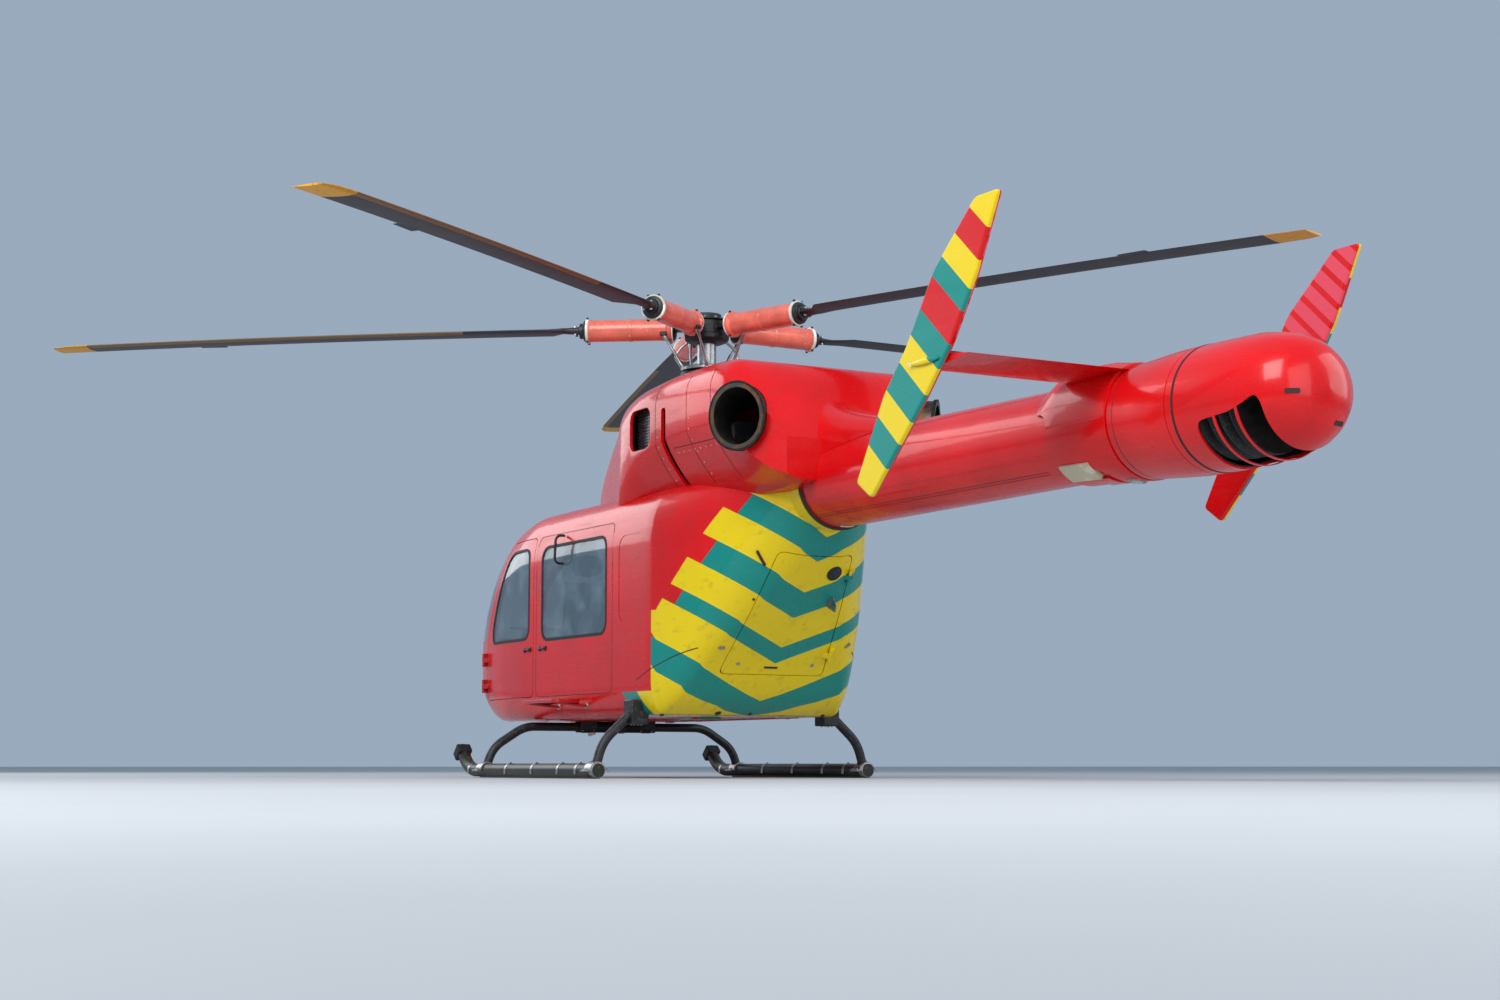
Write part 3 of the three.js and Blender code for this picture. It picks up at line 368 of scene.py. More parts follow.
def belly_z(table, x, y):
    """How low the skin is at (x, y): the bottom, plus u - u (1 - (d/a)^p)^(1/p) inside a lower corner."""
    x, y = np.broadcast_arrays(np.asarray(x, float), np.asarray(y, float))
    half, low, high, la, lu, _, _, power = columns(table, y.ravel())
    out = np.clip((np.abs(x.ravel()) - half * (1 - la)) / (la * half), 0, 1)
    return (low + lu * (high - low) * (1 - (1 - out**power) ** (1 / power))).reshape(x.shape)


NOSE_TIP = -3.25
outer_skin = skin(BODY, NOSE_TIP, BODY_END, 0, dome=0.022)
inner_skin = skin(BODY, -3.165, BODY_END + 0.02, -0.04)
print("body skin:", len(outer_skin[0]), "points; half width at the doors", skin_x(BODY, -0.6, 1.2).round(3))

# %% [markdown]
# Paint, glass and metal are node trees. Every colour is written as the hex value a painter would match
# and turned to linear light by one function, and one small function adds a node with its settings and
# links. The size of a pattern is the real one, in metres.

# %% Helpers for finishes
def colour(code):
    """A hex colour in linear light: c / 12.92 below 0.04045, otherwise ((c + 0.055) / 1.055) ^ 2.4."""
    c = np.array([int(code[i : i + 2], 16) for i in (0, 2, 4)]) / 255
    return (*np.where(c <= 0.04045, c / 12.92, ((c + 0.055) / 1.055) ** 2.4).tolist(), 1.0)


RGBA = {"out": 2, "data_type": "RGBA"}  # for a Mix node that mixes colours


def add(tree, kind, links=None, out=0, **settings):
    """Adds a shader node with its settings and fills its inputs with links, values or hex colours."""
    node = tree.nodes.new("ShaderNode" + kind)
    for key, value in settings.items():
        setattr(node, key, value)
    for key, value in (links or {}).items():
        if isinstance(value, bpy.types.NodeSocket):
            tree.links.new(value, node.inputs[key])
        else:
            node.inputs[key].default_value = colour(value) if isinstance(value, str) else value
    return node.outputs[out]


def start_finish(name, **constants):
    """A new material with its shader. Constants are set on the shader's own sockets."""
    material = bpy.data.materials.new(name)
    material.use_nodes = True
    tree = material.node_tree
    shader = tree.nodes["Principled BSDF"]
    for key, value in constants.items():
        shader.inputs[key.replace("_", " ")].default_value = value
    return material, tree, shader


def wire(tree, shader, **values):
    """Links values to the shader's sockets; an underscore stands for a space in a socket's name."""
    for socket, value in values.items():
        tree.links.new(value, shader.inputs[socket.replace("_", " ")])


def surface_place(tree):
    """The place on the object, with heights above the floor."""
    place = add(tree, "TexCoord", out="Object")
    return add(tree, "VectorMath", {0: place, 1: (0, 0, -GROUND)})


def spots(tree, place, size, detail=3.0, low=0.4, high=0.6, stretch=None):
    """Noise with features of a size in metres, turned to 0 below one level and 1 above another."""
    if stretch:
        place = add(tree, "Mapping", {"Vector": place, "Scale": stretch})
    noise = add(tree, "TexNoise", {"Vector": place, "Scale": 1 / size, "Detail": detail})
    return add(tree, "MapRange", {"Value": noise, "From Min": low, "From Max": high})


# %% [markdown]
# The body is sprayed with a two-part gloss enamel under a clear coat. The red is not one flat value:
# each panel fades a little, the belly gathers a film of dust that streaks towards the tail, and the
# clear coat ripples slightly, so a reflection of the sky is never perfectly still.

# %% Red enamel
def enamel(name, dust=0.5):
    """Gloss enamel: a red with slow drift, darker dust streaks drawn out along the flow, coat ripple."""
    material, tree, shader = start_finish(
        name, Roughness=0.3, Specular_IOR_Level=0.25, Coat_Weight=0.35, Coat_Roughness=0.05
    )
    place = surface_place(tree)
    drift = spots(tree, place, 0.55, 2.0, 0.35, 0.65)
    base = add(tree, "Mix", {0: drift, 6: "CC0509", 7: "DE080D"}, **RGBA)
    streaks = spots(tree, place, 0.09, 4.0, 0.52, 0.78, stretch=(1.0, 0.16, 1.0))
    share = add(tree, "Math", {0: streaks, 1: 0.35 * dust}, operation="MULTIPLY")
    film = add(tree, "Mix", {0: share, 6: base, 7: "6E1A14"}, **RGBA)
    # Pale specks: partly dust, partly painted glints of light on the gloss.
    dust_and_glint_specks = spots(tree, place, 0.006, 1.0, 0.70, 0.74)
    share = add(tree, "Math", {0: dust_and_glint_specks, 1: 0.25 * dust}, operation="MULTIPLY")
    worn = add(tree, "Mix", {0: share, 6: film, 7: "E8A79A"}, **RGBA)
    rough = add(tree, "Math", {0: streaks, 1: 0.16, 2: 0.27}, operation="MULTIPLY_ADD")
    ripple = add(tree, "TexNoise", {"Vector": place, "Scale": 9.0, "Detail": 1.0})
    coat = add(tree, "Bump", {"Height": ripple, "Distance": 0.002, "Strength": 0.35})
    wire(tree, shader, Base_Color=worn, Roughness=rough, Coat_Normal=coat)
    return material, tree, shader, place, worn


RED = enamel("gloss_red_enamel")[0]

# %% [markdown]
# High-visibility bands of yellow and teal film lie across the belly and up the sloping tail of the
# body as a row of chevrons. A picture could be wrapped on, but a formula stays sharp at any distance.
# One number grows along the body: the length of the belly line y + 0.56 max(0, y - 0.70), less half
# the distance from the middle, plus 1.05 times the height above that line. A band is a range of it.

# %% Banded film under the tail
BAND_EDGES = (-0.02, 0.21, 0.62, 0.86, 1.19, 1.33, 1.59, 1.82, 2.09, 2.29)
SLOPE_START = 0.70  # where the belly starts to climb
SLOPE_RISE = 1.2
SLOPE_EXTRA = 0.56  # how much longer the slope is than its run: sqrt(1 + 1.2^2) - 1
BELLY_Z = 0.45
CHEVRON_SLANT = -0.5  # how far a band falls back for each metre from the middle
BAND_RISE = 1.05  # how far it falls back for each metre up the side
YELLOW_TOP, TEAL_TOP = 0.74, 0.55  # how high up the side each film ends
YELLOW = colour("E9CB06")
TEAL = colour("08877C")


def banded_enamel():
    """The red enamel with the chevron bands over it, which end at a height above the belly line."""
    material, tree, shader, place, red = enamel("banded_red_enamel", 0.6)
    axes = add(tree, "SeparateXYZ", {0: place}).node.outputs
    behind = add(tree, "Math", {0: axes[1], 1: SLOPE_START}, operation="SUBTRACT")
    past = add(tree, "Math", {0: behind, 1: 0.0}, operation="MAXIMUM")
    belly = add(tree, "Math", {0: past, 1: SLOPE_RISE, 2: BELLY_Z}, operation="MULTIPLY_ADD")
    over = add(tree, "Math", {0: axes[2], 1: belly}, operation="SUBTRACT")
    height = add(tree, "Math", {0: over, 1: 0.0}, operation="MAXIMUM")
    run = add(tree, "Math", {0: past, 1: SLOPE_EXTRA, 2: axes[1]}, operation="MULTIPLY_ADD")
    from_middle = add(tree, "Math", {0: axes[0]}, operation="ABSOLUTE")
    slanted = add(tree, "Math", {0: from_middle, 1: CHEVRON_SLANT, 2: run}, operation="MULTIPLY_ADD")
    number = add(tree, "Math", {0: height, 1: BAND_RISE, 2: slanted}, operation="MULTIPLY_ADD")
    started = add(tree, "Math", {0: number, 1: BAND_EDGES[0]}, operation="GREATER_THAN")
    odd = started
    for edge in BAND_EDGES[1:]:
        past_edge = add(tree, "Math", {0: number, 1: edge}, operation="GREATER_THAN")
        change = add(tree, "Math", {0: odd, 1: past_edge}, operation="SUBTRACT")
        odd = add(tree, "Math", {0: change}, operation="ABSOLUTE")
    top = add(tree, "Math", {0: odd, 1: TEAL_TOP - YELLOW_TOP, 2: YELLOW_TOP}, operation="MULTIPLY_ADD")
    low_enough = add(tree, "Math", {0: height, 1: top}, operation="LESS_THAN")
    film = add(tree, "Mix", {0: odd, 6: YELLOW, 7: TEAL}, **RGBA)
    scuffs = spots(tree, place, 0.05, 5.0, 0.58, 0.74, stretch=(1.0, 0.3, 1.0))
    share = add(tree, "Math", {0: scuffs, 1: 0.3}, operation="MULTIPLY")
    film = add(tree, "Mix", {0: share, 6: film, 7: "5C5A30"}, **RGBA)
    on = add(tree, "Math", {0: started, 1: low_enough}, operation="MULTIPLY")
    paint = add(tree, "Mix", {0: on, 6: red, 7: film}, **RGBA)
    wire(tree, shader, Base_Color=paint)
    return material


BANDED = banded_enamel()
print("bands:", len(BAND_EDGES), "from", BAND_EDGES[0], "m")

# %% [markdown]
# The outer faces of the fins carry short bands of the same films, square to the fin's long axis. The
# inner faces are plain red with pale stripes above the stabiliser. A ramp of fixed steps along the
# axis, z + 0.9 y, gives the bands.

# %% Banded fin enamel
FIN_BANDS = (
    # the share of the fin's length where a band starts, and its film
    (0.0, "yellow"), (0.14, "teal"), (0.23, "yellow"), (0.31, "teal"), (0.41, "yellow"), (0.50, "teal"),
    (0.58, "red"), (0.68, "teal"), (0.75, "yellow"), (0.83, "red"), (0.92, "yellow"),
)
FIN_SLANT = 0.9
FIN_FROM, FIN_TO = 5.39, 8.05  # z + 0.9 y near the fin's lower and upper tips
STRIPES, STRIPE_GAP, STRIPES_ABOVE = 17.0, 0.32, 2.36  # stripes on a fin's length, gap share, lowest z
OUTER_FACE = 1.291  # between a fin's two faces
FILMS = {"yellow": YELLOW, "teal": TEAL, "red": colour("CE070B")}


def fin_enamel():
    """Bands along z + 0.9 y on the outer half, red and pale stripes on the inner half."""
    material, tree, shader, place, red = enamel("banded_fin_enamel", 0.4)
    axes = add(tree, "SeparateXYZ", {0: place}).node.outputs
    along = add(tree, "Math", {0: axes[1], 1: FIN_SLANT, 2: axes[2]}, operation="MULTIPLY_ADD")
    number = add(tree, "MapRange", {"Value": along, "From Min": FIN_FROM, "From Max": FIN_TO})
    bands = add(tree, "ValToRGB", {0: number})
    ramp = bands.node.color_ramp
    ramp.interpolation = "CONSTANT"
    for _ in FIN_BANDS[2:]:
        ramp.elements.new(1.0)
    for step, (start, film) in zip(ramp.elements, FIN_BANDS):
        step.position = start
        step.color = FILMS[film]
    rows = add(tree, "Math", {0: number, 1: STRIPES}, operation="MULTIPLY")
    within = add(tree, "Math", {0: rows}, operation="FRACT")
    line = add(tree, "Math", {0: within, 1: STRIPE_GAP}, operation="GREATER_THAN")
    upper = add(tree, "Math", {0: axes[2], 1: STRIPES_ABOVE}, operation="GREATER_THAN")
    pale = add(tree, "Math", {0: line, 1: upper}, operation="MULTIPLY")
    inner = add(tree, "Mix", {0: pale, 6: red, 7: "DE4A5C"}, **RGBA)
    width = add(tree, "Math", {0: axes[0]}, operation="ABSOLUTE")
    outer = add(tree, "Math", {0: width, 1: OUTER_FACE}, operation="GREATER_THAN")
    paint = add(tree, "Mix", {0: outer, 6: inner, 7: bands}, **RGBA)
    wire(tree, shader, Base_Color=paint)
    return material


FIN_PAINT = fin_enamel()

# %% [markdown]
# The panes are stretched acrylic, tinted cool. Seen from outside they mirror the pale sky, so a
# thin blue-grey film with a strong gloss reads better than clear glass; the film is partly a painted
# reflection of the sky. Light still passes, which lets the seats and the panel show.

# %% Tinted acrylic
GLAZING, tree, shader = start_finish(
    "tinted_acrylic", Roughness=0.03, IOR=1.49, Coat_Weight=0.6, Coat_Roughness=0.02
)
place = surface_place(tree)
haze = spots(tree, place, 0.25, 3.0, 0.45, 0.7)
# The blue-grey is partly the acrylic's own colour and partly a painted reflection of the pale sky.
tint_and_sky_reflection = add(tree, "Mix", {0: haze, 6: "5C7380", 7: "7C95A3"}, **RGBA)
cover = add(tree, "Math", {0: haze, 1: 0.10, 2: 0.50}, operation="MULTIPLY_ADD")
wire(tree, shader, Base_Color=tint_and_sky_reflection, Alpha=cover)

# %% [markdown]
# The blades are carbon and glass cloth under a matt near-black paint. A bronze-coloured erosion strip
# wraps the leading edge, and the tips are yellow-gold so that they show as a ring when they turn. The
# pattern follows each blade, so it reads the blade's own map: u runs along it in metres, v across it.

# %% Blade skin
STRIP_WIDTH, STRIP_FROM, TIP_FROM = 0.13, 1.88, 4.87  # a share of the width, and places along the blade
BLADE_SKIN, tree, shader = start_finish("blade_composite_skin", Roughness=0.5)
span_map = add(tree, "UVMap", uv_map="span")
along, chord = add(tree, "SeparateXYZ", {0: span_map}).node.outputs[:2]
place = surface_place(tree)
cloudy = spots(tree, place, 0.2, 4.0, 0.35, 0.7)
paint = add(tree, "Mix", {0: cloudy, 6: "231E24", 7: "332C33"}, **RGBA)
streaked = spots(tree, place, 0.012, 2.0, 0.55, 0.75)
share = add(tree, "Math", {0: streaked, 1: 0.35}, operation="MULTIPLY")
paint = add(tree, "Mix", {0: share, 6: paint, 7: "4C4347"}, **RGBA)
edge_noise = add(tree, "TexNoise", {"Vector": place, "Scale": 40.0, "Detail": 3.0})
strip_edge = add(tree, "Math", {0: edge_noise, 1: 0.03, 2: STRIP_WIDTH}, operation="MULTIPLY_ADD")
in_strip = add(tree, "Math", {0: chord, 1: strip_edge}, operation="LESS_THAN")
past_root = add(tree, "Math", {0: along, 1: STRIP_FROM}, operation="GREATER_THAN")
strip = add(tree, "Math", {0: in_strip, 1: past_root}, operation="MULTIPLY")
paint = add(tree, "Mix", {0: strip, 6: paint, 7: "8A6D4C"}, **RGBA)
tip = add(tree, "Math", {0: along, 1: TIP_FROM}, operation="GREATER_THAN")
tip_wear = spots(tree, place, 0.03, 4.0, 0.55, 0.8)
gold = add(tree, "Mix", {0: tip_wear, 6: "E3A11E", 7: "A87A26"}, **RGBA)
paint = add(tree, "Mix", {0: tip, 6: paint, 7: gold}, **RGBA)
shine = add(tree, "Math", {0: strip, 1: 0.75}, operation="MULTIPLY")
relief = add(tree, "Bump", {"Height": edge_noise, "Distance": 0.0004, "Strength": 0.4})
wire(tree, shader, Base_Color=paint, Metallic=shine, Normal=relief)

# %% [markdown]
# Under the belly and on the rotor are plainer finishes: coral paint on the pitch cases, black epoxy on
# the cross tubes, an olive-brown wear coat on the skids that rubs through to bronze, bare steel,
# heat-stained steel at the exhausts, rubber, cloth and moulded panels. They share one recipe.

# %% Plain and worn finishes
def worn_finish(name, base, wear, size, share, rough, metal=(0.0, 0.0), relief=0.0003, stretch=None, **more):
    """Two colours, the second where noise of a size in metres passes 1 - share; metal: unworn, worn."""
    material, tree, shader = start_finish(name, **more)
    place = surface_place(tree)
    dark = [0.72 * c for c in colour(base)[:3]] + [1]
    shade = spots(tree, place, size * 6, 2.0, 0.3, 0.7)
    shade = add(tree, "Mix", {0: shade, 6: base, 7: dark}, **RGBA)
    rubbed = spots(tree, place, size, 5.0, 1 - share, 1.06 - share, stretch)
    paint = add(tree, "Mix", {0: rubbed, 6: shade, 7: wear}, **RGBA)
    roughness = add(tree, "Math", {0: rubbed, 1: 0.15, 2: rough}, operation="MULTIPLY_ADD")
    metallic = add(tree, "Math", {0: rubbed, 1: metal[1] - metal[0], 2: metal[0]}, operation="MULTIPLY_ADD")
    grain = add(tree, "TexNoise", {"Vector": place, "Scale": 3 / size, "Detail": 2.0})
    bump = add(tree, "Bump", {"Height": grain, "Distance": relief, "Strength": 1.0})
    wire(tree, shader, Base_Color=paint, Roughness=roughness, Metallic=metallic, Normal=bump)
    return material


METAL = (1.0, 1.0)
CORAL = worn_finish("coral_enamel", "F4735B", "FF9A82", 0.02, 0.36, 0.35, Coat_Weight=0.4)
BLACK = worn_finish("black_epoxy", "17181A", "3A3B3D", 0.02, 0.42, 0.45)
SKID = worn_finish("olive_wear_coat", "2B2C24", "5E5440", 0.03, 0.40, 0.36, (0.2, 0.6), stretch=(1, 0.12, 1))
STEEL = worn_finish("brushed_steel", "9A9B9C", "C4C5C6", 0.01, 0.5, 0.28, METAL, stretch=(8, 1, 1))
HOT_STEEL = worn_finish("heat_stained_steel", "5A544F", "6B5038", 0.06, 0.5, 0.42, METAL)
# Black for the soot in the exhausts, and also painted shade inside the intakes, the slots and the thruster.
SOOT_AND_SHADE = worn_finish("soot_and_painted_shade_black", "100F0E", "26221F", 0.03, 0.5, 0.7, (0.3, 0.3))
RUBBER = worn_finish("black_rubber", "0E0F10", "222325", 0.008, 0.45, 0.65)
SEAM = worn_finish("dark_sealant", "2A0D0D", "4A1614", 0.01, 0.5, 0.6)
BEIGE = worn_finish("beige_radome_enamel", "C9C2A2", "D9D3B8", 0.12, 0.4, 0.5)
WHITE = worn_finish("white_plastic", "EDEADB", "F8F6EA", 0.08, 0.5, 0.4)
BRASS = worn_finish("brass_fitting", "B08A3A", "D8B868", 0.008, 0.5, 0.3, METAL)
CAST = worn_finish("sand_cast_alloy", "8B8D8E", "6C6E70", 0.01, 0.5, 0.55, METAL, relief=0.0006)
PANEL = worn_finish("textured_grey_plastic", "2E2F33", "3C3D42", 0.0015, 0.5, 0.6, relief=0.0002)
FLOOR_MAT = worn_finish("grey_floor_mat", "4A4C50", "5D5F63", 0.004, 0.5, 0.8, relief=0.0005)
TRIM_RED = worn_finish("stone_chipped_red_enamel", "C00A0D", "7A1A16", 0.004, 0.3, 0.3, Coat_Weight=0.6)

# %% [markdown]
# Lamps are a polished bowl behind a clear lens. Only the lens face catches the light, so the bowl is a
# bright metal with fine facets and the lens a clear plastic. A display is dark glass with a faint glow
# of horizon colours. Seat cloth is a plain weave of two threads, drawn 3 mm apart so that they show,
# where the real ones are about 1 mm apart.

# %% Lamps, displays and cloth
LENS, tree, shader = start_finish("clear_lens", Roughness=0.05, IOR=1.5, Alpha=0.45, Coat_Weight=1.0)
place = surface_place(tree)
ribs = add(tree, "TexWave", {"Vector": place, "Scale": 60.0})
glass = add(tree, "Mix", {0: ribs, 6: "F4F6EE", 7: "DDE4E6"}, **RGBA)
bump = add(tree, "Bump", {"Height": ribs, "Distance": 0.0008, "Strength": 0.6})
wire(tree, shader, Base_Color=glass, Normal=bump)

LIT_LENS, tree, shader = start_finish("lit_lens", Roughness=0.08, Coat_Weight=1.0, Emission_Strength=0.7)
ribs = add(tree, "TexWave", {"Vector": surface_place(tree), "Scale": 40.0})
glow = add(tree, "Mix", {0: ribs, 6: "FFF6D2", 7: "F3E6B4"}, **RGBA)
wire(tree, shader, Base_Color=glow, Emission_Color=glow)

BOWL, tree, shader = start_finish("polished_reflector", Metallic=1.0, Roughness=0.12)
place = surface_place(tree)
cells = add(tree, "TexVoronoi", {"Vector": place, "Scale": 90.0})
silver = add(tree, "Mix", {0: cells, 6: "F5F3E8", 7: "CFCDBE"}, **RGBA)
bump = add(tree, "Bump", {"Height": cells, "Distance": 0.002, "Strength": 0.7})
wire(tree, shader, Base_Color=silver, Normal=bump)

SCREEN, tree, shader = start_finish("display_glass", Roughness=0.08, Coat_Weight=0.8, Emission_Strength=0.25)
place = surface_place(tree)
level = add(tree, "SeparateXYZ", {0: place}).node.outputs[2]
horizon = add(tree, "MapRange", {"Value": level, "From Min": 1.035, "From Max": 1.055})
fine = spots(tree, place, 0.004, 2.0, 0.45, 0.6)
ground_sky = add(tree, "Mix", {0: horizon, 6: "3A2C1C", 7: "1C3550"}, **RGBA)
picture = add(tree, "Mix", {0: fine, 6: ground_sky, 7: "10161C"}, **RGBA)
wire(tree, shader, Base_Color=picture, Emission_Color=picture)

CLOTH, tree, shader = start_finish("charcoal_seat_cloth", Roughness=0.9, Sheen_Weight=0.25)
place = surface_place(tree)
warp = add(tree, "TexWave", {"Vector": place, "Scale": 100.0, "Distortion": 0.6}, bands_direction="X")
weft = add(tree, "TexWave", {"Vector": place, "Scale": 100.0, "Distortion": 0.6}, bands_direction="Z")
threads = add(tree, "Math", {0: warp, 1: weft}, operation="MAXIMUM")
faded = spots(tree, place, 0.12, 3.0, 0.4, 0.7)
weave = add(tree, "Mix", {0: threads, 6: "1F2127", 7: "3E414B"}, **RGBA)
aged = add(tree, "Mix", {0: faded, 6: weave, 7: "4A4C55"}, **RGBA)
bump = add(tree, "Bump", {"Height": threads, "Distance": 0.0006, "Strength": 0.8})
wire(tree, shader, Base_Color=aged, Normal=bump)
print("finishes:", len(bpy.data.materials))

# %% [markdown]
# The doors, windows and frames are cut out of the body's skin with the outlines of the real panels,
# seen from the side. A cutter is the outline drawn out through one wall. Cutting from one skin, and
# not building each panel alone, keeps every edge level with its neighbour.

# %% Outlines of doors and windows, as (y, z)
DOOR_TOP = 1.873
CREW_DOOR = [
    (-2.396, 0.6225), (-1.323, 0.6225), (-1.323, DOOR_TOP), (-1.9, DOOR_TOP), (-2.33, 1.18), (-2.396, 1.0),
]
CREW_WINDOW = [(-2.215, 1.08), (-1.41, 1.08), (-1.41, 1.79), (-1.855, 1.79), (-2.215, 1.21)]
CABIN_DOOR = [(-1.273, 0.62), (0.05, 0.62), (0.05, DOOR_TOP), (-1.273, DOOR_TOP)]
CABIN_WINDOW = [(-1.17, 1.06), (-0.055, 1.06), (-0.055, 1.78), (-1.17, 1.78)]
REAR_WINDOW = [(0.15, 1.12), (0.56, 1.12), (0.56, 1.76), (0.15, 1.76)]
WINDSHIELD = [(-3.4, 1.215), (-2.56, 1.1), (-2.44, 1.145), (-1.9, 2.01), (-1.87, 2.3), (-3.4, 2.3)]
NOSE_SIDE = [
    (-3.4, 0), (-2.75, 0), (-2.75, 0.6203), (-2.1, 0.6203), (-2.1, 1.2), (-1.87, 1.8), (-1.83, 1.99),
    (-1.815, 2.3), (-3.4, 2.3),
]
CHIN_WINDOW = [(0.12, -3.3), (0.7, -3.3), (0.7, -2.72), (0.5, -2.745), (0.3, -2.79), (0.12, -2.8)]
REAR_DOOR = [(-0.43, 1.165), (0.43, 1.165), (0.3, 2.205), (-0.3, 2.205)]
REAR_SLOPE = math.radians(-37.7)
WINDOW_CORNER, DOOR_CORNER = 0.11, 0.07
NEAR, FAR = 0.2, 1.2  # where a cutter starts and ends, from the middle
DOOR_GAP, CABIN_GAP, PANE_FIT = 0.0035, 0.004, 0.0003  # on each side of a joint
PANE_OUTSIDE, PANE_INSIDE = -0.003, -0.011  # a pane's faces, from the paint


def side_cut(points, side, radius):
    """A side outline drawn out through the wall on one side."""
    return prism(points, "x", side * NEAR, side * FAR, radius)


def sloped(points, radius):
    """An outline drawn out square to the slope: y' = y cos t - z sin t, z' = y sin t + z cos t."""
    flat, faces = prism(points, "y", 0.06, 0.8, radius)
    x, y, z = flat.T
    c, s = math.cos(REAR_SLOPE), math.sin(REAR_SLOPE)
    return np.stack([x, y * c - z * s, y * s + z * c], 1), faces


# %% [markdown]
# The wall is the outer skin less an inner one, 40 mm inside it. A panel is the part of the wall within
# its outline, and a door is a few millimetres smaller all round than the opening that it closes.

# %% Cut the panels
pane_outer = skin(BODY, -3.24, BODY_END, PANE_OUTSIDE)
pane_inner = skin(BODY, -3.195, BODY_END + 0.02, PANE_INSIDE)
crew_cuts = [side_cut(inset(CREW_DOOR, -DOOR_GAP), s, DOOR_CORNER) for _, s in SIDES]
cabin_cuts = [side_cut(CABIN_DOOR, s, DOOR_CORNER) for _, s in SIDES]
rear_cuts = [side_cut(REAR_WINDOW, s, WINDOW_CORNER) for _, s in SIDES]
shield_cuts = [prism(WINDSHIELD, "x", s * 0.028, s * FAR, 0.04) for _, s in SIDES]
chin_cuts = [prism([(s * x, y) for x, y in CHIN_WINDOW], "z", 0.3, 0.96, 0.05) for _, s in SIDES]
FRAME_END = 0.6497  # the cabin frame and the belly floor end here, and the aft body starts
nose_cut = prism(np.array(NOSE_SIDE) + (2 * PANE_FIT, 0), "x", -FAR, FAR)
body_cuts = {
    "nose_frame": [
        ("INTERSECT", prism(NOSE_SIDE, "x", -FAR, FAR)),
        *away(*crew_cuts, *shield_cuts, *chin_cuts),
    ],
    "cabin_frame": [
        ("INTERSECT", block((-FAR, -2.6, 0.6203), (FAR, FRAME_END, 2.4))),
        *away(nose_cut, *crew_cuts, *cabin_cuts, *rear_cuts),
    ],
    "aft_body": [
        ("INTERSECT", block((-FAR, FRAME_END + PANE_FIT, 0), (FAR, BODY_END, 2.6))),
        *away(sloped(inset(REAR_DOOR, -DOOR_GAP), 0.06)),
    ],
    "rear_door": [("INTERSECT", sloped(inset(REAR_DOOR, DOOR_GAP), 0.055))],
}
for name, s in SIDES:
    for part, door, window, gap, corner in (
        ("crew", CREW_DOOR, CREW_WINDOW, DOOR_GAP, 2 * DOOR_GAP),
        ("cabin", CABIN_DOOR, CABIN_WINDOW, CABIN_GAP, CABIN_GAP),
    ):
        body_cuts[f"{part}_door_{name}"] = [
            ("INTERSECT", side_cut(inset(door, gap), s, DOOR_CORNER - corner)),
            *away(side_cut(window, s, WINDOW_CORNER)),
        ]
body_meshes = {name: carved(outer_skin, *away(inner_skin), *steps) for name, steps in body_cuts.items()}
SKID_X, SKID_Z = 1.13, 0.058


def cross_tube(y, knee, bend, top):
    """The middle line of a cross tube: up from one skid, across under the belly and down to the other."""
    port = [(SKID_X, y, SKID_Z), (1.07, y, knee), (bend, y, top)]
    return [(-x, y, z) for x, y, z in port] + port[::-1]


REAR_TUBE = cross_tube(0.42, 0.26, 0.79, 0.508)
FRONT_TUBE = cross_tube(-1.5, 0.23, 0.8, 0.398)
body_meshes["belly_floor"] = carved(
    outer_skin,
    ("INTERSECT", block((-FAR, -2.7497, 0), (FAR, FRAME_END, 0.62))),
    *away(swept(bent(REAR_TUBE, 0.09), 0.037, 20, AFT)),
    ("UNION", block((-0.6, -1.18, 0.6), (0.6, -0.02, 0.626))),
)
ROOT = "airframe"
HINGED = ("crew_door_port", "crew_door_starboard", "rear_door")
for name, data in body_meshes.items():
    paint = BANDED if name in ("aft_body", "rear_door", "belly_floor") else RED
    finished(f"{name}_skin", data, name if name in HINGED else ROOT, paint, "red_paint", (name,), 30)

# %% [markdown]
# Each pane is cut from a thinner skin that lies 3 mm below the paint, so the frame stands proud of the
# glass as it does on the real body.

# %% Cut the panes
shield = inset(WINDSHIELD, PANE_FIT)
pane_cuts = {f"windshield_{n}": prism(shield, "x", s * 0.0283, s * FAR, 0.04) for n, s in SIDES}
for n, s in SIDES:
    chin = [(s * x, y) for x, y in inset(CHIN_WINDOW, PANE_FIT)]
    pane_cuts[f"chin_window_{n}"] = prism(chin, "z", 0.3, 0.9597, 0.05)
    for part, outline in (("crew", CREW_WINDOW), ("cabin", CABIN_WINDOW), ("rear", REAR_WINDOW)):
        pane_cuts[f"{part}_window_{n}"] = side_cut(inset(outline, PANE_FIT), s, WINDOW_CORNER)
for name, cutter in pane_cuts.items():
    data = carved(pane_outer, *away(pane_inner), ("INTERSECT", cutter))
    body = name.replace("window", "door") if name.startswith("crew") else ROOT
    finish, slot = (RED, "red_paint") if name.startswith("rear") else (GLAZING, "tinted_glass")
    finished(f"{name}_pane", data, body, finish, slot, (name,), 30)

# %% [markdown]
# The cowl over the engines is drawn with the same kind of sections. It stays wide to a blunt rear end,
# a fairing runs from there down onto the boom, and the two exhausts come out of its aft corners. It is
# cut clear of the body, the boom, the mast and the pipes, so it sits on them like the real cover.

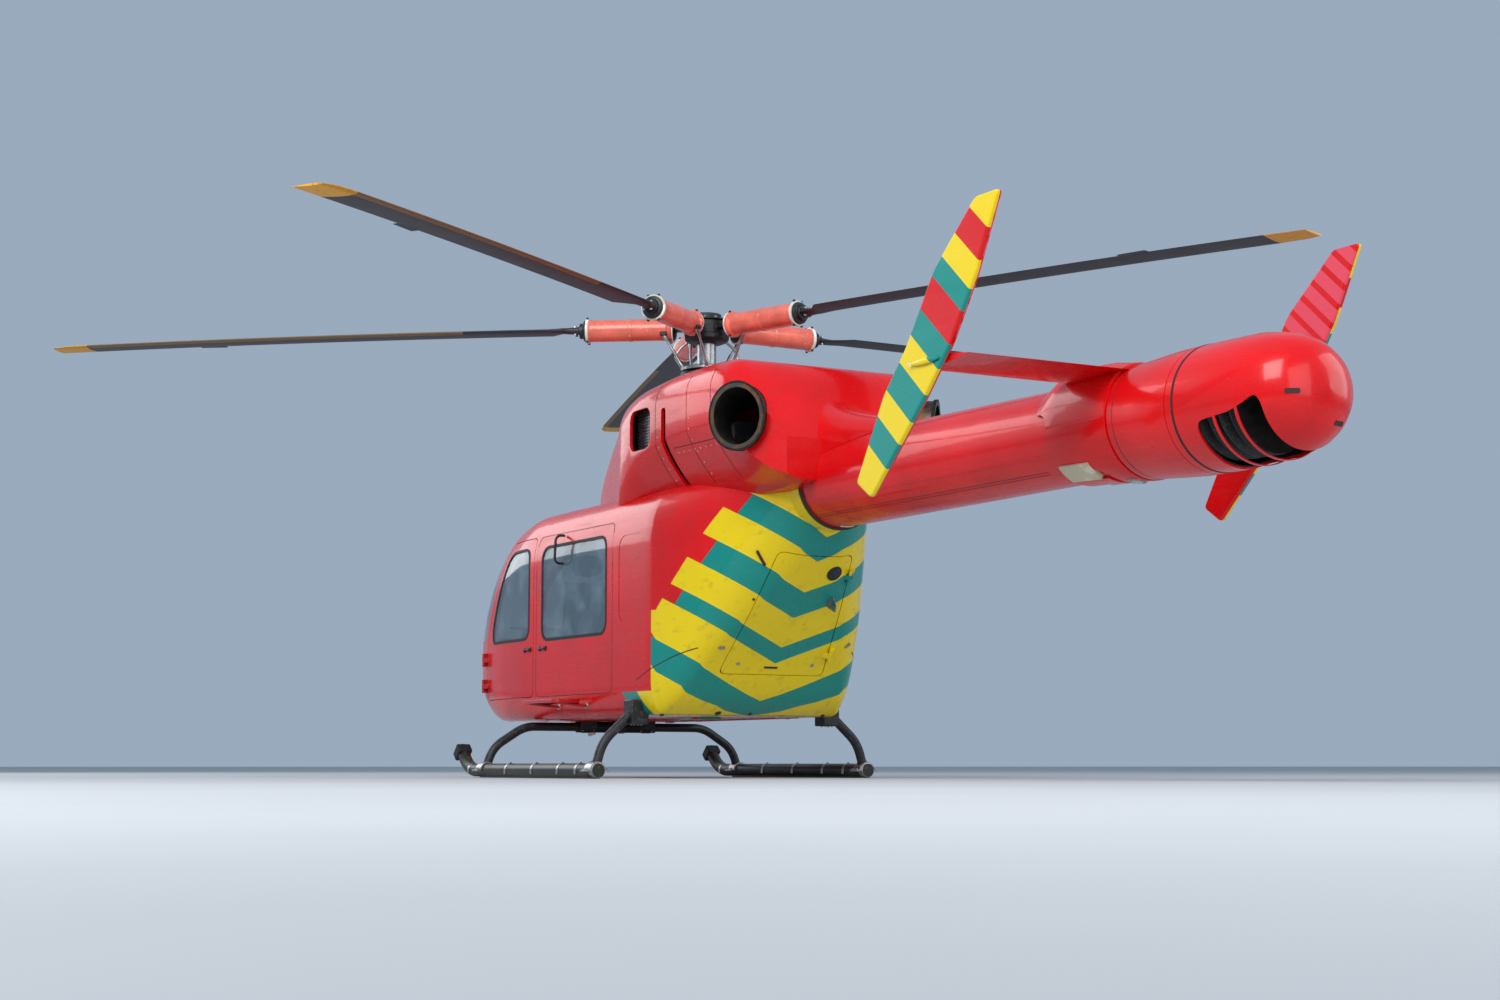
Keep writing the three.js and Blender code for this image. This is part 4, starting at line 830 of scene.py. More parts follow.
# %% Sections of the cowl and its fairing, in the same columns as the body
COWL = np.array([
    (-1.42, 0.190, 1.945, 2.092, 0.20, 0.05, 0.80, 0.40, 2.0),
    (-1.15, 0.330, 1.945, 2.240, 0.10, 0.05, 0.70, 0.50, 2.0),
    (-0.85, 0.460, 1.945, 2.440, 0.10, 0.05, 0.60, 0.50, 2.0),
    (-0.50, 0.575, 1.945, 2.640, 0.10, 0.05, 0.50, 0.45, 2.0),
    (-0.15, 0.680, 1.945, 2.770, 0.12, 0.06, 0.40, 0.36, 2.0),
    (0.08, 0.765, 1.945, 2.820, 0.26, 0.22, 0.32, 0.30, 1.5),
    (0.40, 0.800, 1.945, 2.850, 0.40, 0.40, 0.27, 0.26, 1.3),
    (1.00, 0.812, 1.945, 2.880, 0.46, 0.50, 0.25, 0.25, 1.25),
    (1.50, 0.822, 1.945, 2.875, 0.48, 0.52, 0.24, 0.24, 1.25),
    (1.68, 0.824, 1.950, 2.855, 0.48, 0.51, 0.25, 0.24, 1.25),
    (1.78, 0.822, 1.955, 2.780, 0.48, 0.52, 0.25, 0.24, 1.25),
    (1.98, 0.800, 1.975, 2.450, 0.46, 0.60, 0.25, 0.24, 1.25),
    (2.08, 0.750, 2.000, 2.285, 0.42, 0.62, 0.25, 0.24, 1.25),
])
FAIRING = np.array([
    (1.76, 0.300, 2.080, 2.640, 0.10, 0.05, 0.75, 0.60, 2.0),
    (2.10, 0.260, 2.120, 2.500, 0.10, 0.05, 0.80, 0.60, 2.0),
    (2.50, 0.190, 2.160, 2.400, 0.10, 0.05, 0.85, 0.60, 2.0),
    (2.90, 0.100, 2.200, 2.330, 0.10, 0.05, 0.90, 0.60, 2.0),
])
COWL_START, COWL_END = -1.42, 2.08
INTAKE = [(0.27, 2.36), (0.62, 2.36), (0.62, 2.66), (0.27, 2.66)]
SLOT = [(0.79, 2.04), (0.86, 2.04), (0.86, 2.62), (0.79, 2.62)]
BOOM_Z = 2.02
EXHAUST_MOUTH = np.array((0.81, 1.882, 2.425))
EXHAUST_RUN = np.array((0.743, 0.669, -0.05))  # the way out of the mouth
MOUTH_HEIGHT = 1.2  # how much taller than wide a mouth is


def pipe_path(side, start, beyond):
    """The middle line of an exhaust: straight back from the engine, round a bend and out past the mouth."""
    mouth, run = (v * (side, 1, 1) for v in (EXHAUST_MOUTH, EXHAUST_RUN))
    return bent([(side * 0.4, 1.35 + start, 2.39), mouth - 0.42 * run, mouth + beyond * run], 0.15, 14)


def open_pipe(path, radius, wall, lip=0.0):
    """A pipe with an oval mouth: rings run out along the path, turn over a lip and run back inside."""
    path = np.asarray(path, float)
    run = unit(np.gradient(path, axis=0))
    n = unit(np.cross(run, UP))
    b = np.cross(run, n)
    places = np.concatenate([path, path[-1:] + run[-1] * lip, path[-1:] + run[-1] * lip, path[::-1]])
    sizes = np.concatenate([
        np.full(len(path), radius), [radius + lip, radius - wall - lip / 2], np.full(len(path), radius - wall)
    ])
    n, b = (np.concatenate([v, v[-1:], v[-1:], v[::-1]]) for v in (n, b))
    t = np.linspace(0, 2 * np.pi, 48, endpoint=False)[None, :, None]
    tall = b[:, None] * np.sin(t) * MOUTH_HEIGHT
    rings = places[:, None] + sizes[:, None, None] * (n[:, None] * np.cos(t) + tall)
    return outward(grid(rings, close_rows=True, close_columns=True))


def corner_wedge(side, place, thick):
    """The part of the cowl's corner beyond a plane across the exhaust: where r . (x, y) passes a place."""
    rx, ry, _ = EXHAUST_RUN
    near, far = ([(x, (d - rx * x) / ry) for x in (0.3, 1.1)] for d in (place, place + thick))
    return prism([(side * x, y) for x, y in near + far[::-1]], "z", 1.8, 3.0)


exhaust_holes = {
    s: swept(pipe_path(s, -0.06, 0.25), 0.191, 32, UP, (1, MOUTH_HEIGHT)) for _, s in SIDES
}
body_space = skin(BODY, NOSE_TIP, BODY_END, 0.0005)
BOOM_AXIS = ((0, 0, BOOM_Z), AFT)
MAST = ((0, 0, 0), UP)
cowl_mesh = carved(
    skin(COWL, COWL_START, COWL_END, 0, 0.04),
    ("UNION", skin(FAIRING, 1.76, 2.9, 0, 0.04)),
    *away(
        skin(COWL, COWL_START + 0.09, COWL_END - 0.025, -0.025, 0.06),
        body_space,
        turned([(1.75, 0.3225), (1.795, 0.3225), (1.8, 0.3105), (5.0, 0.3)], *BOOM_AXIS),
        turned([(2.5, 0.23), (3.0, 0.23)], *MAST),
        *[corner_wedge(s, 1.79, 0.5) for _, s in SIDES],
        *exhaust_holes.values(),
        *[prism(INTAKE, "x", s * 0.3, s * FAR, 0.09) for _, s in SIDES],
        *[prism(SLOT, "x", s * 0.52, s * FAR, 0.034) for _, s in SIDES],
    ),
)
finished("engine_cowl_skin", cowl_mesh, ROOT, RED, "red_paint", ("engine_cowl",), 30)
for name, s in SIDES:
    panel = carved(
        skin(COWL, COWL_START, COWL_END + 0.0008, 0.0008, 0.04),
        ("INTERSECT", corner_wedge(s, 1.766, 0.0252)),
        *away(exhaust_holes[s], body_space),
    )
    finished(f"exhaust_panel_{name}", panel, ROOT, RED, "red_paint", (), 30)

# %% [markdown]
# An exhaust is a thin steel pipe rolled over at its mouth. Hot gas has stained it brown and blue
# outside and left it black inside, so the liner is a second, slightly smaller pipe in soot.

# %% Exhaust pipes
for name, s in SIDES:
    path = pipe_path(s, 0.003, 0.0)
    pipe = open_pipe(path, 0.187, 0.022, 0.005)
    piece(f"exhaust_pipe_{name}", pipe, ROOT, HOT_STEEL, "exhaust_steel", (f"exhaust_{name}",))
    end, out = path[-1], unit(path[-1] - path[-2])
    collar = open_pipe(np.linspace(end - out * 0.018, end + out * 0.002, 4), 0.196, 0.0088, 0.003)
    piece(f"exhaust_collar_{name}", collar, ROOT, SOOT_AND_SHADE, "exhaust_steel")
    liner = open_pipe(pipe_path(s, 0.05, -0.02), 0.1645, 0.004)
    piece(f"exhaust_liner_{name}", liner, ROOT, SOOT_AND_SHADE, "exhaust_steel")

# %% [markdown]
# Trim on a curved wall has to lie on it. A strip is drawn from an outline seen from the side: its
# points go out to the skin plus a small height, on both edges and both faces of the strip.

# %% Strips that lie on the skin
def on_wall(table, outline, side, proud):
    """Points (y, z) put on the wall: x is the skin's half width there plus how proud it stands."""
    y, z = np.asarray(outline, float).T
    return np.stack([side * skin_x(table, y, z, proud), y, z], 1)


def wall_strip(table, outline, side, width, proud, sink=0.004, close=True):
    """A flat band that follows an outline on the wall: four rings of points, two sunk and two proud."""
    flat = np.asarray(outline, float)
    run = unit(np.roll(flat, -1, 0) - np.roll(flat, 1, 0)) if close else unit(np.gradient(flat, axis=0))
    normal = np.stack([-run[:, 1], run[:, 0]], 1) * width / 2
    edges = ((-1.0, -sink), (-0.8, proud), (0.8, proud), (1.0, -sink))
    rings = np.stack([on_wall(table, flat + normal * across, side, height) for across, height in edges], 1)
    if close:
        return outward(grid(rings, close_rows=True, close_columns=True))
    return capped(rings)


def sealed(outline, radius):
    """A rounded outline with extra points along its straight runs, so that a strip can follow a curve."""
    flat = rounded(outline, radius, 10)
    step = np.linspace(0, 1, 6, endpoint=False)[None, :, None]
    return ((1 - step) * flat[:, None] + step * np.roll(flat, -1, 0)[:, None]).reshape(-1, 2)


# %% [markdown]
# Each pane sits in a black rubber seal, which is what draws the dark line round every window. The
# doors close on a softer seal that shows as a dark gap.

# %% Window and door seals
for name, s in SIDES:
    for part, body, line, measures in (
        # what, its body, its line on the wall, and its width, how proud it stands and how deep it sinks
        ("crew_window_seal", f"crew_door_{name}", sealed(CREW_WINDOW, WINDOW_CORNER), (0.026, 0.003, 0.004)),
        ("cabin_window_seal", ROOT, sealed(CABIN_WINDOW, WINDOW_CORNER), (0.026, 0.003, 0.004)),
        ("crew_door_seal", ROOT, sealed(inset(CREW_DOOR, -0.009), 0.075), (0.009, -0.012, 0.03)),
        ("cabin_door_gap", ROOT, sealed(inset(CABIN_DOOR, 0.002), DOOR_CORNER), (0.006, 0.0008, 0.004)),
    ):
        piece(f"{part}_{name}", wall_strip(BODY, line, s, *measures), body, RUBBER)

# %% [markdown]
# The boom is a tube of light alloy with a ring where it bolts to the body. It swells behind the
# stabiliser to meet the thruster, so a turned profile gives it. A bead and two seams run along its port
# flank, and one seam along the other.

# %% Tail boom
boom_profile = [
    (1.7503, 0.3), (1.7503, 0.322), (1.795, 0.322), (1.8, 0.3095), (2.6, 0.305), (3.6, 0.297), (4.5, 0.29),
    (4.85, 0.3015), (5.19, 0.322), (5.2, 0.331), (5.24, 0.331), (5.42, 0.344), (5.6, 0.354), (5.715, 0.354),
    (5.715, 0.344), (5.6, 0.344), (5.24, 0.321), (5.19, 0.312), (4.5, 0.28), (1.8, 0.2995), (1.7503, 0.3),
]
BOOM_ROWS = np.array(boom_profile[3:13])
piece("tail_boom_tube", turned(boom_profile, *BOOM_AXIS, sides=96), ROOT, RED, "red_paint", ("tail_boom",))


def on_boom(y, degrees, proud=0.0):
    """A point on the boom: the radius follows the tube's own rows. Port is 0 degrees, down -90."""
    y, t = np.broadcast_arrays(np.asarray(y, float), np.radians(degrees))
    radius = np.interp(y, BOOM_ROWS[:, 0], BOOM_ROWS[:, 1]) + proud
    return np.stack([radius * np.cos(t), y, BOOM_Z + radius * np.sin(t)], -1)


def boom_patch(y0, y1, from_degrees, to_degrees, proud):
    """A curved plate on the boom: a grid of angle and length, proud of the skin and sunk at its rim."""
    sink = 0.003
    y = np.array([y0, y0, *np.linspace(y0 + 0.002, y1 - 0.002, 8), y1, y1])
    height = np.array([-sink, proud * 0.5, *[proud] * 8, proud * 0.5, -sink])
    degrees = np.linspace(from_degrees, to_degrees, 14)
    top = on_boom(y[:, None], degrees[None, :], height[:, None])
    base = on_boom(y[:, None], degrees[None, :], -sink * 1.5)
    return capped(np.concatenate([top, base[:, ::-1]], 1))


BOOM_RINGS = (
    # name, body, finish, slot, and the ring's section as (place along the boom, radius)
    ("boom_root_sleeve", ROOT, BANDED, "red_paint",
     [(1.742, 0.318), (1.742, 0.3255), (1.868, 0.3225), (1.868, 0.305)]),
    ("boom_root_band", ROOT, SEAM, None,
     [(1.867, 0.3075), (1.867, 0.3262), (1.884, 0.3262), (1.898, 0.3125), (1.898, 0.3075)]),
    ("boom_tail_seam", ROOT, SEAM, None, [(5.243, 0.33), (5.243, 0.3318), (5.249, 0.3322), (5.249, 0.33)]),
    ("thruster_can_seam", "thruster", RUBBER, None,
     [(5.772, 0.352), (5.772, 0.3555), (5.788, 0.3555), (5.788, 0.352)]),
)
for name, body, finish, slot, ring in BOOM_RINGS:
    piece(name, turned(ring + ring[:1], *BOOM_AXIS, sides=96), body, finish, slot)
for name, angle, width, proud, finish in (
    # name, angle and half width in degrees, how proud, finish
    ("bead", -28.0, 1.1, 0.0035, RED),
    ("seam_upper", -50.0, 0.35, 0.0008, SEAM),
    ("seam_lower", -54.0, 0.35, 0.0008, SEAM),
    ("seam_starboard", -132.0, 0.3, 0.0008, SEAM),
):
    piece(f"boom_{name}", boom_patch(1.9, 4.48, angle - width, angle + width, proud), ROOT, finish)

# %% [markdown]
# Two beige plates under the boom are aerial covers, and behind them sits a round lamp. The plates stand
# 30 mm off the skin, so each is a slab curved about the boom, with its edges rounded.

# %% Fittings under the boom
COVER_HEIGHT = 0.03
for name, start, low, high in (("port", 4.64, -66, -42), ("starboard", 4.66, -139, -113)):
    cover = boom_patch(start, start + 0.27, low, high, COVER_HEIGHT)
    piece(f"boom_aerial_cover_{name}", cover, ROOT, BEIGE, edge=0.004)
    middle, angle = start + 0.135, (low + high) / 2
    screws = [on_boom(middle + k * 0.1, angle + j * 8, COVER_HEIGHT) for k in (-1, 1) for j in (-1, 1)]
    screw = [(-0.003, 0.005), (0.0015, 0.0045), (0.0015, 0.0004)]
    heads = [turned(screw, p, unit(p - (0, p[1], BOOM_Z)), 12) for p in screws]
    piece(f"cover_screws_{name}", merged(*heads), ROOT, STEEL)
piece("boom_strap_pad", boom_patch(4.62, 4.94, -112, -70, 0.014), ROOT, RED, edge=0.004)
lamp_spot = on_boom(5.1, -84, 0.0115)
lamp_out = unit(lamp_spot - (0, 5.1, BOOM_Z))
lamp_bezel = [
    (-0.005, 0.055), (0.008, 0.055), (0.012, 0.046), (0.004, 0.042), (-0.005, 0.042), (-0.005, 0.055),
]
lamp_lens = [(-0.004, 0.043), (0.004, 0.042), (0.012, 0.032), (0.017, 0.018), (0.019, 0.002)]
for part, profile, finish in (("bezel", lamp_bezel, STEEL), ("lens", lamp_lens, LENS)):
    piece(f"boom_lamp_{part}", turned(profile, lamp_spot, lamp_out, 40), ROOT, finish)
piece("boom_root_marker", boom_patch(1.955, 1.975, -101, -83, 0.004), ROOT, WHITE)

# %% [markdown]
# The tail thruster blows air out of a slot in a can that turns on the end of the boom. The can is a
# dome with a wide opening on its lower side. Two thin rings carry on across the opening, and behind
# them everything is black: a liner inside the can, which is painted shade, and the fixed deflector rings of
# the core.

# %% Thruster can with its opening
CAN_START = 5.72
cone_profile = [
    (CAN_START, 0.342), (CAN_START, 0.354), (5.9, 0.3535), (6.2, 0.350), (6.3, 0.333), (6.4, 0.311),
    (6.47, 0.278), (6.53, 0.232), (6.57, 0.165), (6.592, 0.09), (6.6, 0.0005), (6.585, 0.0005), (6.55, 0.15),
    (6.5, 0.23), (6.4, 0.295), (6.2, 0.338), (CAN_START, 0.342),
]
shade_liner_profile = [
    (5.75, 0.333), (5.75, 0.3405), (6.2, 0.3365), (6.4, 0.2935), (6.5, 0.2285), (6.548, 0.1485),
    (6.583, 0.0005), (6.575, 0.0005), (6.54, 0.14), (6.49, 0.22), (6.39, 0.285), (6.2, 0.328), (5.75, 0.333),
]
OPENING = [(-0.262, 5.94), (0.262, 5.94), (0.283, 6.41), (-0.283, 6.41)]
OPENING_TURN = math.radians(22)
VANES = ((6.085, 0.3512), (6.25, 0.3412))  # their places along the boom, and their radii


def about_boom(mesh, turn):
    """A mesh turned about the boom's middle line: x' = x cos t - z sin t, z' = x sin t + z cos t."""
    points, faces = mesh
    x, y, z = (points - (0, 0, BOOM_Z)).T
    c, s = math.cos(turn), math.sin(turn)
    return np.stack([x * c - z * s, y, x * s + z * c + BOOM_Z], 1), faces


opening = about_boom(prism(OPENING, "z", BOOM_Z - 0.6, BOOM_Z - 0.12, 0.06), OPENING_TURN)
for name, profile, finish, slot, replaces in (
    ("thruster_can", cone_profile, RED, "red_paint", ("thruster_cone",)),
    ("thruster_can_shade_liner", shade_liner_profile, SOOT_AND_SHADE, "black_paint", ()),
):
    can = carved(turned(profile, *BOOM_AXIS, sides=96), *away(opening))
    finished(name, can, "thruster", finish, slot, replaces, 30)


def can_arc(y, width, radius, from_degrees, to_degrees):
    """A flat ring's arc about the boom: a rectangle of width and 6 mm carried through the angles."""
    t = np.radians(np.linspace(from_degrees, to_degrees, 40))[:, None]
    r = np.array([radius, radius, radius - 0.006, radius - 0.006])[None, :]
    side = np.array([-width, width, width, -width])[None, :] / 2
    return capped(np.stack([r * np.cos(t), y + side + 0 * t, BOOM_Z + r * np.sin(t)], -1))


vanes = [can_arc(y, 0.02, radius, -131, -5) for y, radius in VANES]
piece("thruster_vanes", merged(*vanes), "thruster", RED, "red_paint")
deflectors = [
    turned(
        [(y, 0.302), (y + 0.03, 0.24), (y + 0.033, 0.24), (y + 0.003, 0.302), (y, 0.302)], *BOOM_AXIS,
        sides=64,
    )
    for y in np.arange(5.9, 6.17, 0.085)
]
piece("thruster_cascade", merged(*deflectors), ROOT, BLACK, "black_paint")


def set_on(mesh, place, out, along=AFT):
    """A mesh drawn with z out and y along, put on a surface: p + x a + y b + z n, where a = b x n."""
    n = unit(out)
    b = unit(np.asarray(along, float) - np.dot(along, n) * n)
    return np.asarray(mesh[0]) @ np.stack([np.cross(b, n), b, n]) + place, mesh[1]


cap_row = np.array(cone_profile[4:10])


def on_cap(y, degrees):
    """A place on the can's domed end and the way out there, square to the profile between two rows."""
    k = np.searchsorted(cap_row[:, 0], y)
    (y0, r0), (y1, r1) = cap_row[k - 1], cap_row[k]
    radius = r0 + (r1 - r0) * (y - y0) / (y1 - y0)
    t = math.radians(degrees)
    out = unit((math.cos(t) * (y1 - y0), r0 - r1, math.sin(t) * (y1 - y0)))
    return np.array((radius * math.cos(t), y, BOOM_Z + radius * math.sin(t))), out


notch = prism([(-0.04, -0.014), (0.04, -0.014), (0.04, 0.014), (-0.04, 0.014)], "z", -0.012, 0.002, 0.01)
notches = [set_on(notch, *on_cap(6.545, angle), UP) for angle in (-8, -122)]
piece("thruster_cap_notches", merged(*notches), "thruster", SEAM)

# %% [markdown]
# The stabiliser is a small wing. Its section is the usual symmetrical one: at a share s of the chord
# each face is t (1.4845 sqrt(s) - 0.63 s - 1.758 s^2 + 1.4215 s^3 - 0.5075 s^4) from the middle, where t
# is the thickness. The trailing edge is blunt. A cuff wraps the boom where the wing crosses it.

# %% Stabiliser and its cuff
SPAN_HALF, WING_Y, WING_Z, CHORD, THICK = 1.275, 4.72, 2.3, 0.5, 0.064


def wing_section(count=26):
    """Closed points (share of the chord, height as a share of the thickness) of a symmetrical section."""
    s = (1 - np.cos(np.linspace(0, np.pi, count))) / 2
    h = 1.4845 * np.sqrt(s) - 0.63 * s - 1.758 * s**2 + 1.4215 * s**3 - 0.5075 * s**4
    return np.concatenate([np.stack([s, h], 1), np.stack([s[::-1], -h[::-1]], 1)[1:-1]])


section = wing_section()
x = np.linspace(-SPAN_HALF, SPAN_HALF, 25)
rings = np.empty((len(x), len(section), 3))
rings[..., 0] = x[:, None]
rings[..., 1] = WING_Y + CHORD * section[:, 0]
rings[..., 2] = WING_Z + THICK * section[:, 1]
boom_body = turned(
    [(4.3, 0.2915), (4.5, 0.2905), (4.85, 0.302), (5.19, 0.3223), (5.3, 0.3223)], *BOOM_AXIS, sides=96,
)
wing = carved(capped(rings), *away(boom_body))
finished("stabiliser_wing", wing, ROOT, RED, "red_paint", ("stabiliser",), 30)

SADDLE = np.array([
    # the same columns as the body
    (4.50, 0.300, 2.02, 2.315, 0.1, 0.05, 0.9, 0.9, 2.0),
    (4.66, 0.318, 2.02, 2.372, 0.1, 0.05, 0.8, 0.8, 2.0),
    (4.95, 0.330, 2.02, 2.382, 0.1, 0.05, 0.8, 0.8, 2.0),
    (5.18, 0.334, 2.02, 2.358, 0.1, 0.05, 0.9, 0.9, 2.0),
])
cuff_profile = [
    (4.5, 0.29), (4.5, 0.3), (4.56, 0.3035), (5.18, 0.3345), (5.184, 0.3325), (5.184, 0.29), (4.5, 0.29),
]
cuff = carved(
    skin(SADDLE, 4.5, 5.18, 0, 0.03),
    ("UNION", turned(cuff_profile, *BOOM_AXIS, sides=96)),
    *away(
        boom_body,
        prism([(-0.2, 4.3), (0.2, 4.3), (0.2, 5.0), (-0.2, 5.0)], "z", 1.5, 2.0, 0.11),
        prism([(4.4, 1.6), (4.62, 1.6), (4.62, 2.12), (4.4, 2.12)], "x", -1, 1, 0.09),
    ),
)
finished("stabiliser_cuff", cuff, ROOT, RED, "red_paint", (), 30)

# %% [markdown]
# The fins are flat panels with rounded edges and swept tips. The real edge is a folded sheet, so a
# bevel a third of the thickness wide is enough. At each tip of the stabiliser is a lamp in a fairing.

# %% Fins and tip lamps
FIN = [
    (4.15, 1.7), (4.3, 1.6), (4.82, 2.08), (5.1, 2.37), (5.33, 2.7), (5.55, 3.125), (5.34, 3.125),
    (4.95, 2.8), (4.66, 2.4), (4.44, 2.17),
]
for name, s in SIDES:
    near = SPAN_HALF + PANE_FIT
    panel = prism(FIN, "x", s * near, s * (near + 0.04), 0.03, 6)
    piece(
        f"fin_panel_{name}", panel, ROOT, FIN_PAINT, "red_paint", (f"fin_{name}",), edge=0.013, edge_steps=3,
    )
    spine = np.stack([np.full(9, s * 1.325), np.linspace(4.74, 5.0, 9), np.full(9, 2.3)], 1)
    girth = 0.019 * np.sin(np.linspace(0.35, np.pi - 0.2, 9)) ** 0.7
    piece(f"tip_fairing_{name}", swept(spine, girth, 20, UP, (0.55, 1)), ROOT, FIN_PAINT, "red_paint")
    tip_lamp = [(0, 0.014), (0.012, 0.0125), (0.02, 0.008), (0.0225, 0.0006)]
    piece(f"tip_lamp_{name}", turned(tip_lamp, (s * 1.330, 4.745, 2.3), (s * 0.25, -1, 0), 20), ROOT, LENS)

# %% [markdown]
# The rotor head turns on a fixed mast. Below it are two swashplates, one still and one turning, and a
# rubber boot closes the hole in the cowl. Each arm is drawn once along x, then turned about the mast by
# 72 degrees at a time, which is also how the real head is laid out.

# %% Mast, boot and fixed swashplate
ROTOR_Z = 3.4
ARM_TURNS = [72.0 * i - 108 for i in range(5)]


def about_mast(mesh, degrees):
    """A mesh turned about the mast: x' = x cos t - y sin t, y' = x sin t + y cos t."""
    points, faces = mesh
    x, y, z = np.asarray(points).T
    c, s = math.cos(math.radians(degrees)), math.sin(math.radians(degrees))
    return np.stack([x * c - y * s, x * s + y * c, z], 1), faces


def bolts(places, axis, radius, height):
    """Bolt heads: short six-sided bars, each with a small chamfer on top."""
    profile = [(-height, radius), (height * 0.75, radius), (height, radius * 0.8), (height, radius * 0.01)]
    return merged(*[turned(profile, place, axis, 6) for place in places])


def about_circle(count, radius, z, start=0.0):
    """Places round the mast: (r cos t, r sin t, z) for equal steps of t."""
    t = np.radians(start) + np.arange(count) * 2 * np.pi / count
    return np.stack([radius * np.cos(t), radius * np.sin(t), np.full(count, z)], 1)


mast_profile = [
    (2.6003, 0.0005), (2.6003, 0.118), (2.622, 0.118), (2.632, 0.086), (2.70, 0.072), (3.28, 0.072),
    (3.28, 0.0005),
]
piece("rotor_mast_shaft", turned(mast_profile, *MAST), ROOT, STEEL, "mast_steel", ("rotor_mast",), edge=0.002)
plate_profile = [
    (3.02, 0.0735), (3.02, 0.165), (3.03, 0.188), (3.035, 0.2), (3.052, 0.2), (3.058, 0.185), (3.06, 0.14),
    (3.06, 0.0735), (3.02, 0.0735),
]
piece(
    "swashplate_fixed_ring", turned(plate_profile, *MAST, sides=72), ROOT, BLACK, "black_paint",
    ("swashplate",), edge=0.002,
)
BOOT_Z, FOLD = 2.76, 0.0283  # where the boot starts, and the height of one fold
boot_z = np.linspace(BOOT_Z, 2.93, 43)
boot_r = 0.216 - 0.62 * (boot_z - BOOT_Z) + 0.0085 * np.cos((boot_z - BOOT_Z) * 2 * np.pi / FOLD)
boot = np.stack([boot_z, boot_r], 1)
boot_wall = np.concatenate([boot, boot[::-1] - (0, 0.004), boot[:1]])
piece("mast_boot", turned(boot_wall, *MAST, sides=64), ROOT, RUBBER, smooth=60)


def roof_ring(inner, outer, proud):
    """A flat ring round the mast that lies on the cowl's roof, whose height follows the sections."""
    t = np.linspace(0, 2 * np.pi, 72, endpoint=False)[None, :]
    r = np.array([inner, inner, inner + 0.003, outer - 0.003, outer, outer])[:, None]
    rise = np.array([-0.02, proud - 0.001, proud, proud, proud - 0.002, -0.02])[:, None]
    y = r * np.sin(t)
    z = columns(COWL, y.ravel())[2].reshape(y.shape) + rise
    return outward(grid(np.stack([r * np.cos(t), y, z], -1), close_rows=True, close_columns=True))


piece("mast_opening_rim", roof_ring(0.212, 0.262, 0.006), ROOT, RED)
rim_bolts = about_circle(16, 0.248, 0.0)
rim_bolts[:, 2] = columns(COWL, rim_bolts[:, 1])[2] + 0.007
piece("mast_rim_bolts", bolts(rim_bolts, UP, 0.0065, 0.003), ROOT, STEEL)
rod_path = np.linspace((0.146, 0, 2.86), (0.166, 0, 3.018), 9)
rod = swept(rod_path, [0.009] * 6 + [0.012, 0.016, 0.014], 16, AFT)
piece("swashplate_rods", merged(*[about_mast(rod, a) for a in (90, 210, 330)]), ROOT, STEEL)

# %% [markdown]
# What turns is the hub, the five pitch cases with their collars, the links that set each blade's pitch,
# and the upper swashplate. The cases are painted coral, their collars are pale, and the bolts dark.

# %% Hub, cases and links
hub_profile = [
    (3.2803, 0.0005), (3.2803, 0.112), (3.295, 0.150), (3.312, 0.168), (3.345, 0.170), (3.352, 0.150),
    (3.448, 0.150), (3.455, 0.168), (3.462, 0.166), (3.47, 0.146), (3.47, 0.116), (3.4705, 0.11),
    (3.505, 0.1098), (3.51, 0.105), (3.51, 0.0005),
]
piece("rotor_hub", turned(hub_profile, *MAST, sides=80), "rotor", BLACK, "coral_paint", ("rotor_head",),
      edge=0.002)
turning_profile = [
    (3.066, 0.085), (3.066, 0.176), (3.073, 0.193), (3.095, 0.193), (3.102, 0.178), (3.102, 0.085),
    (3.066, 0.085),
]
lugs = [about_mast(block((0.165, -0.016, 3.071), (0.203, 0.016, 3.097)), a + 27) for a in ARM_TURNS]
piece("swashplate_turning_ring", merged(turned(turning_profile, *MAST, sides=72), *lugs), "rotor", STEEL,
      edge=0.003)
piece("hub_bolts", bolts(about_circle(10, 0.132, 3.474, 18), UP, 0.0115, 0.006), "rotor", STEEL)

ARM_AXIS = ((0, 0, ROTOR_Z), PORT)
case_profile = [
    (0.262, 0.0005), (0.262, 0.09), (0.268, 0.0975), (0.292, 0.0975), (0.304, 0.084), (0.57, 0.084),
    (0.574, 0.0872), (0.596, 0.0872), (0.6, 0.084), (0.885, 0.084), (0.9, 0.0865), (0.906, 0.0885),
    (0.906, 0.0005),
]
inner_cuff = [(0.236, 0.0005), (0.236, 0.060), (0.243, 0.080), (0.2545, 0.085), (0.2545, 0.0005)]
inner_collar = [(0.254, 0.0005), (0.254, 0.0965), (0.2625, 0.0965), (0.2625, 0.0005)]
outer_collar = [
    (0.9055, 0.0005), (0.9055, 0.0915), (0.909, 0.0958), (0.924, 0.0958), (0.927, 0.0925), (0.927, 0.0005),
]
end_stub = [
    (0.9265, 0.0005), (0.9265, 0.084), (0.944, 0.080), (0.951, 0.0595), (0.974, 0.0595), (0.9798, 0.055),
    (0.9798, 0.0005),
]
link_path = np.linspace((0.1693, 0.0863, 3.088), (0.3228, 0.0686, 3.352), 13)
link_radius = [
    0.017, 0.018, 0.013, 0.0095, 0.0095, 0.0095, 0.0125, 0.0095, 0.0095, 0.0095, 0.013, 0.018, 0.017,
]
collar_bolts = [
    (x, s * y, ROTOR_Z + t * 0.0865)
    for x, y in ((0.916, 0.042), (0.28, 0.045)) for s in (1, -1) for t in (1, -1)
]
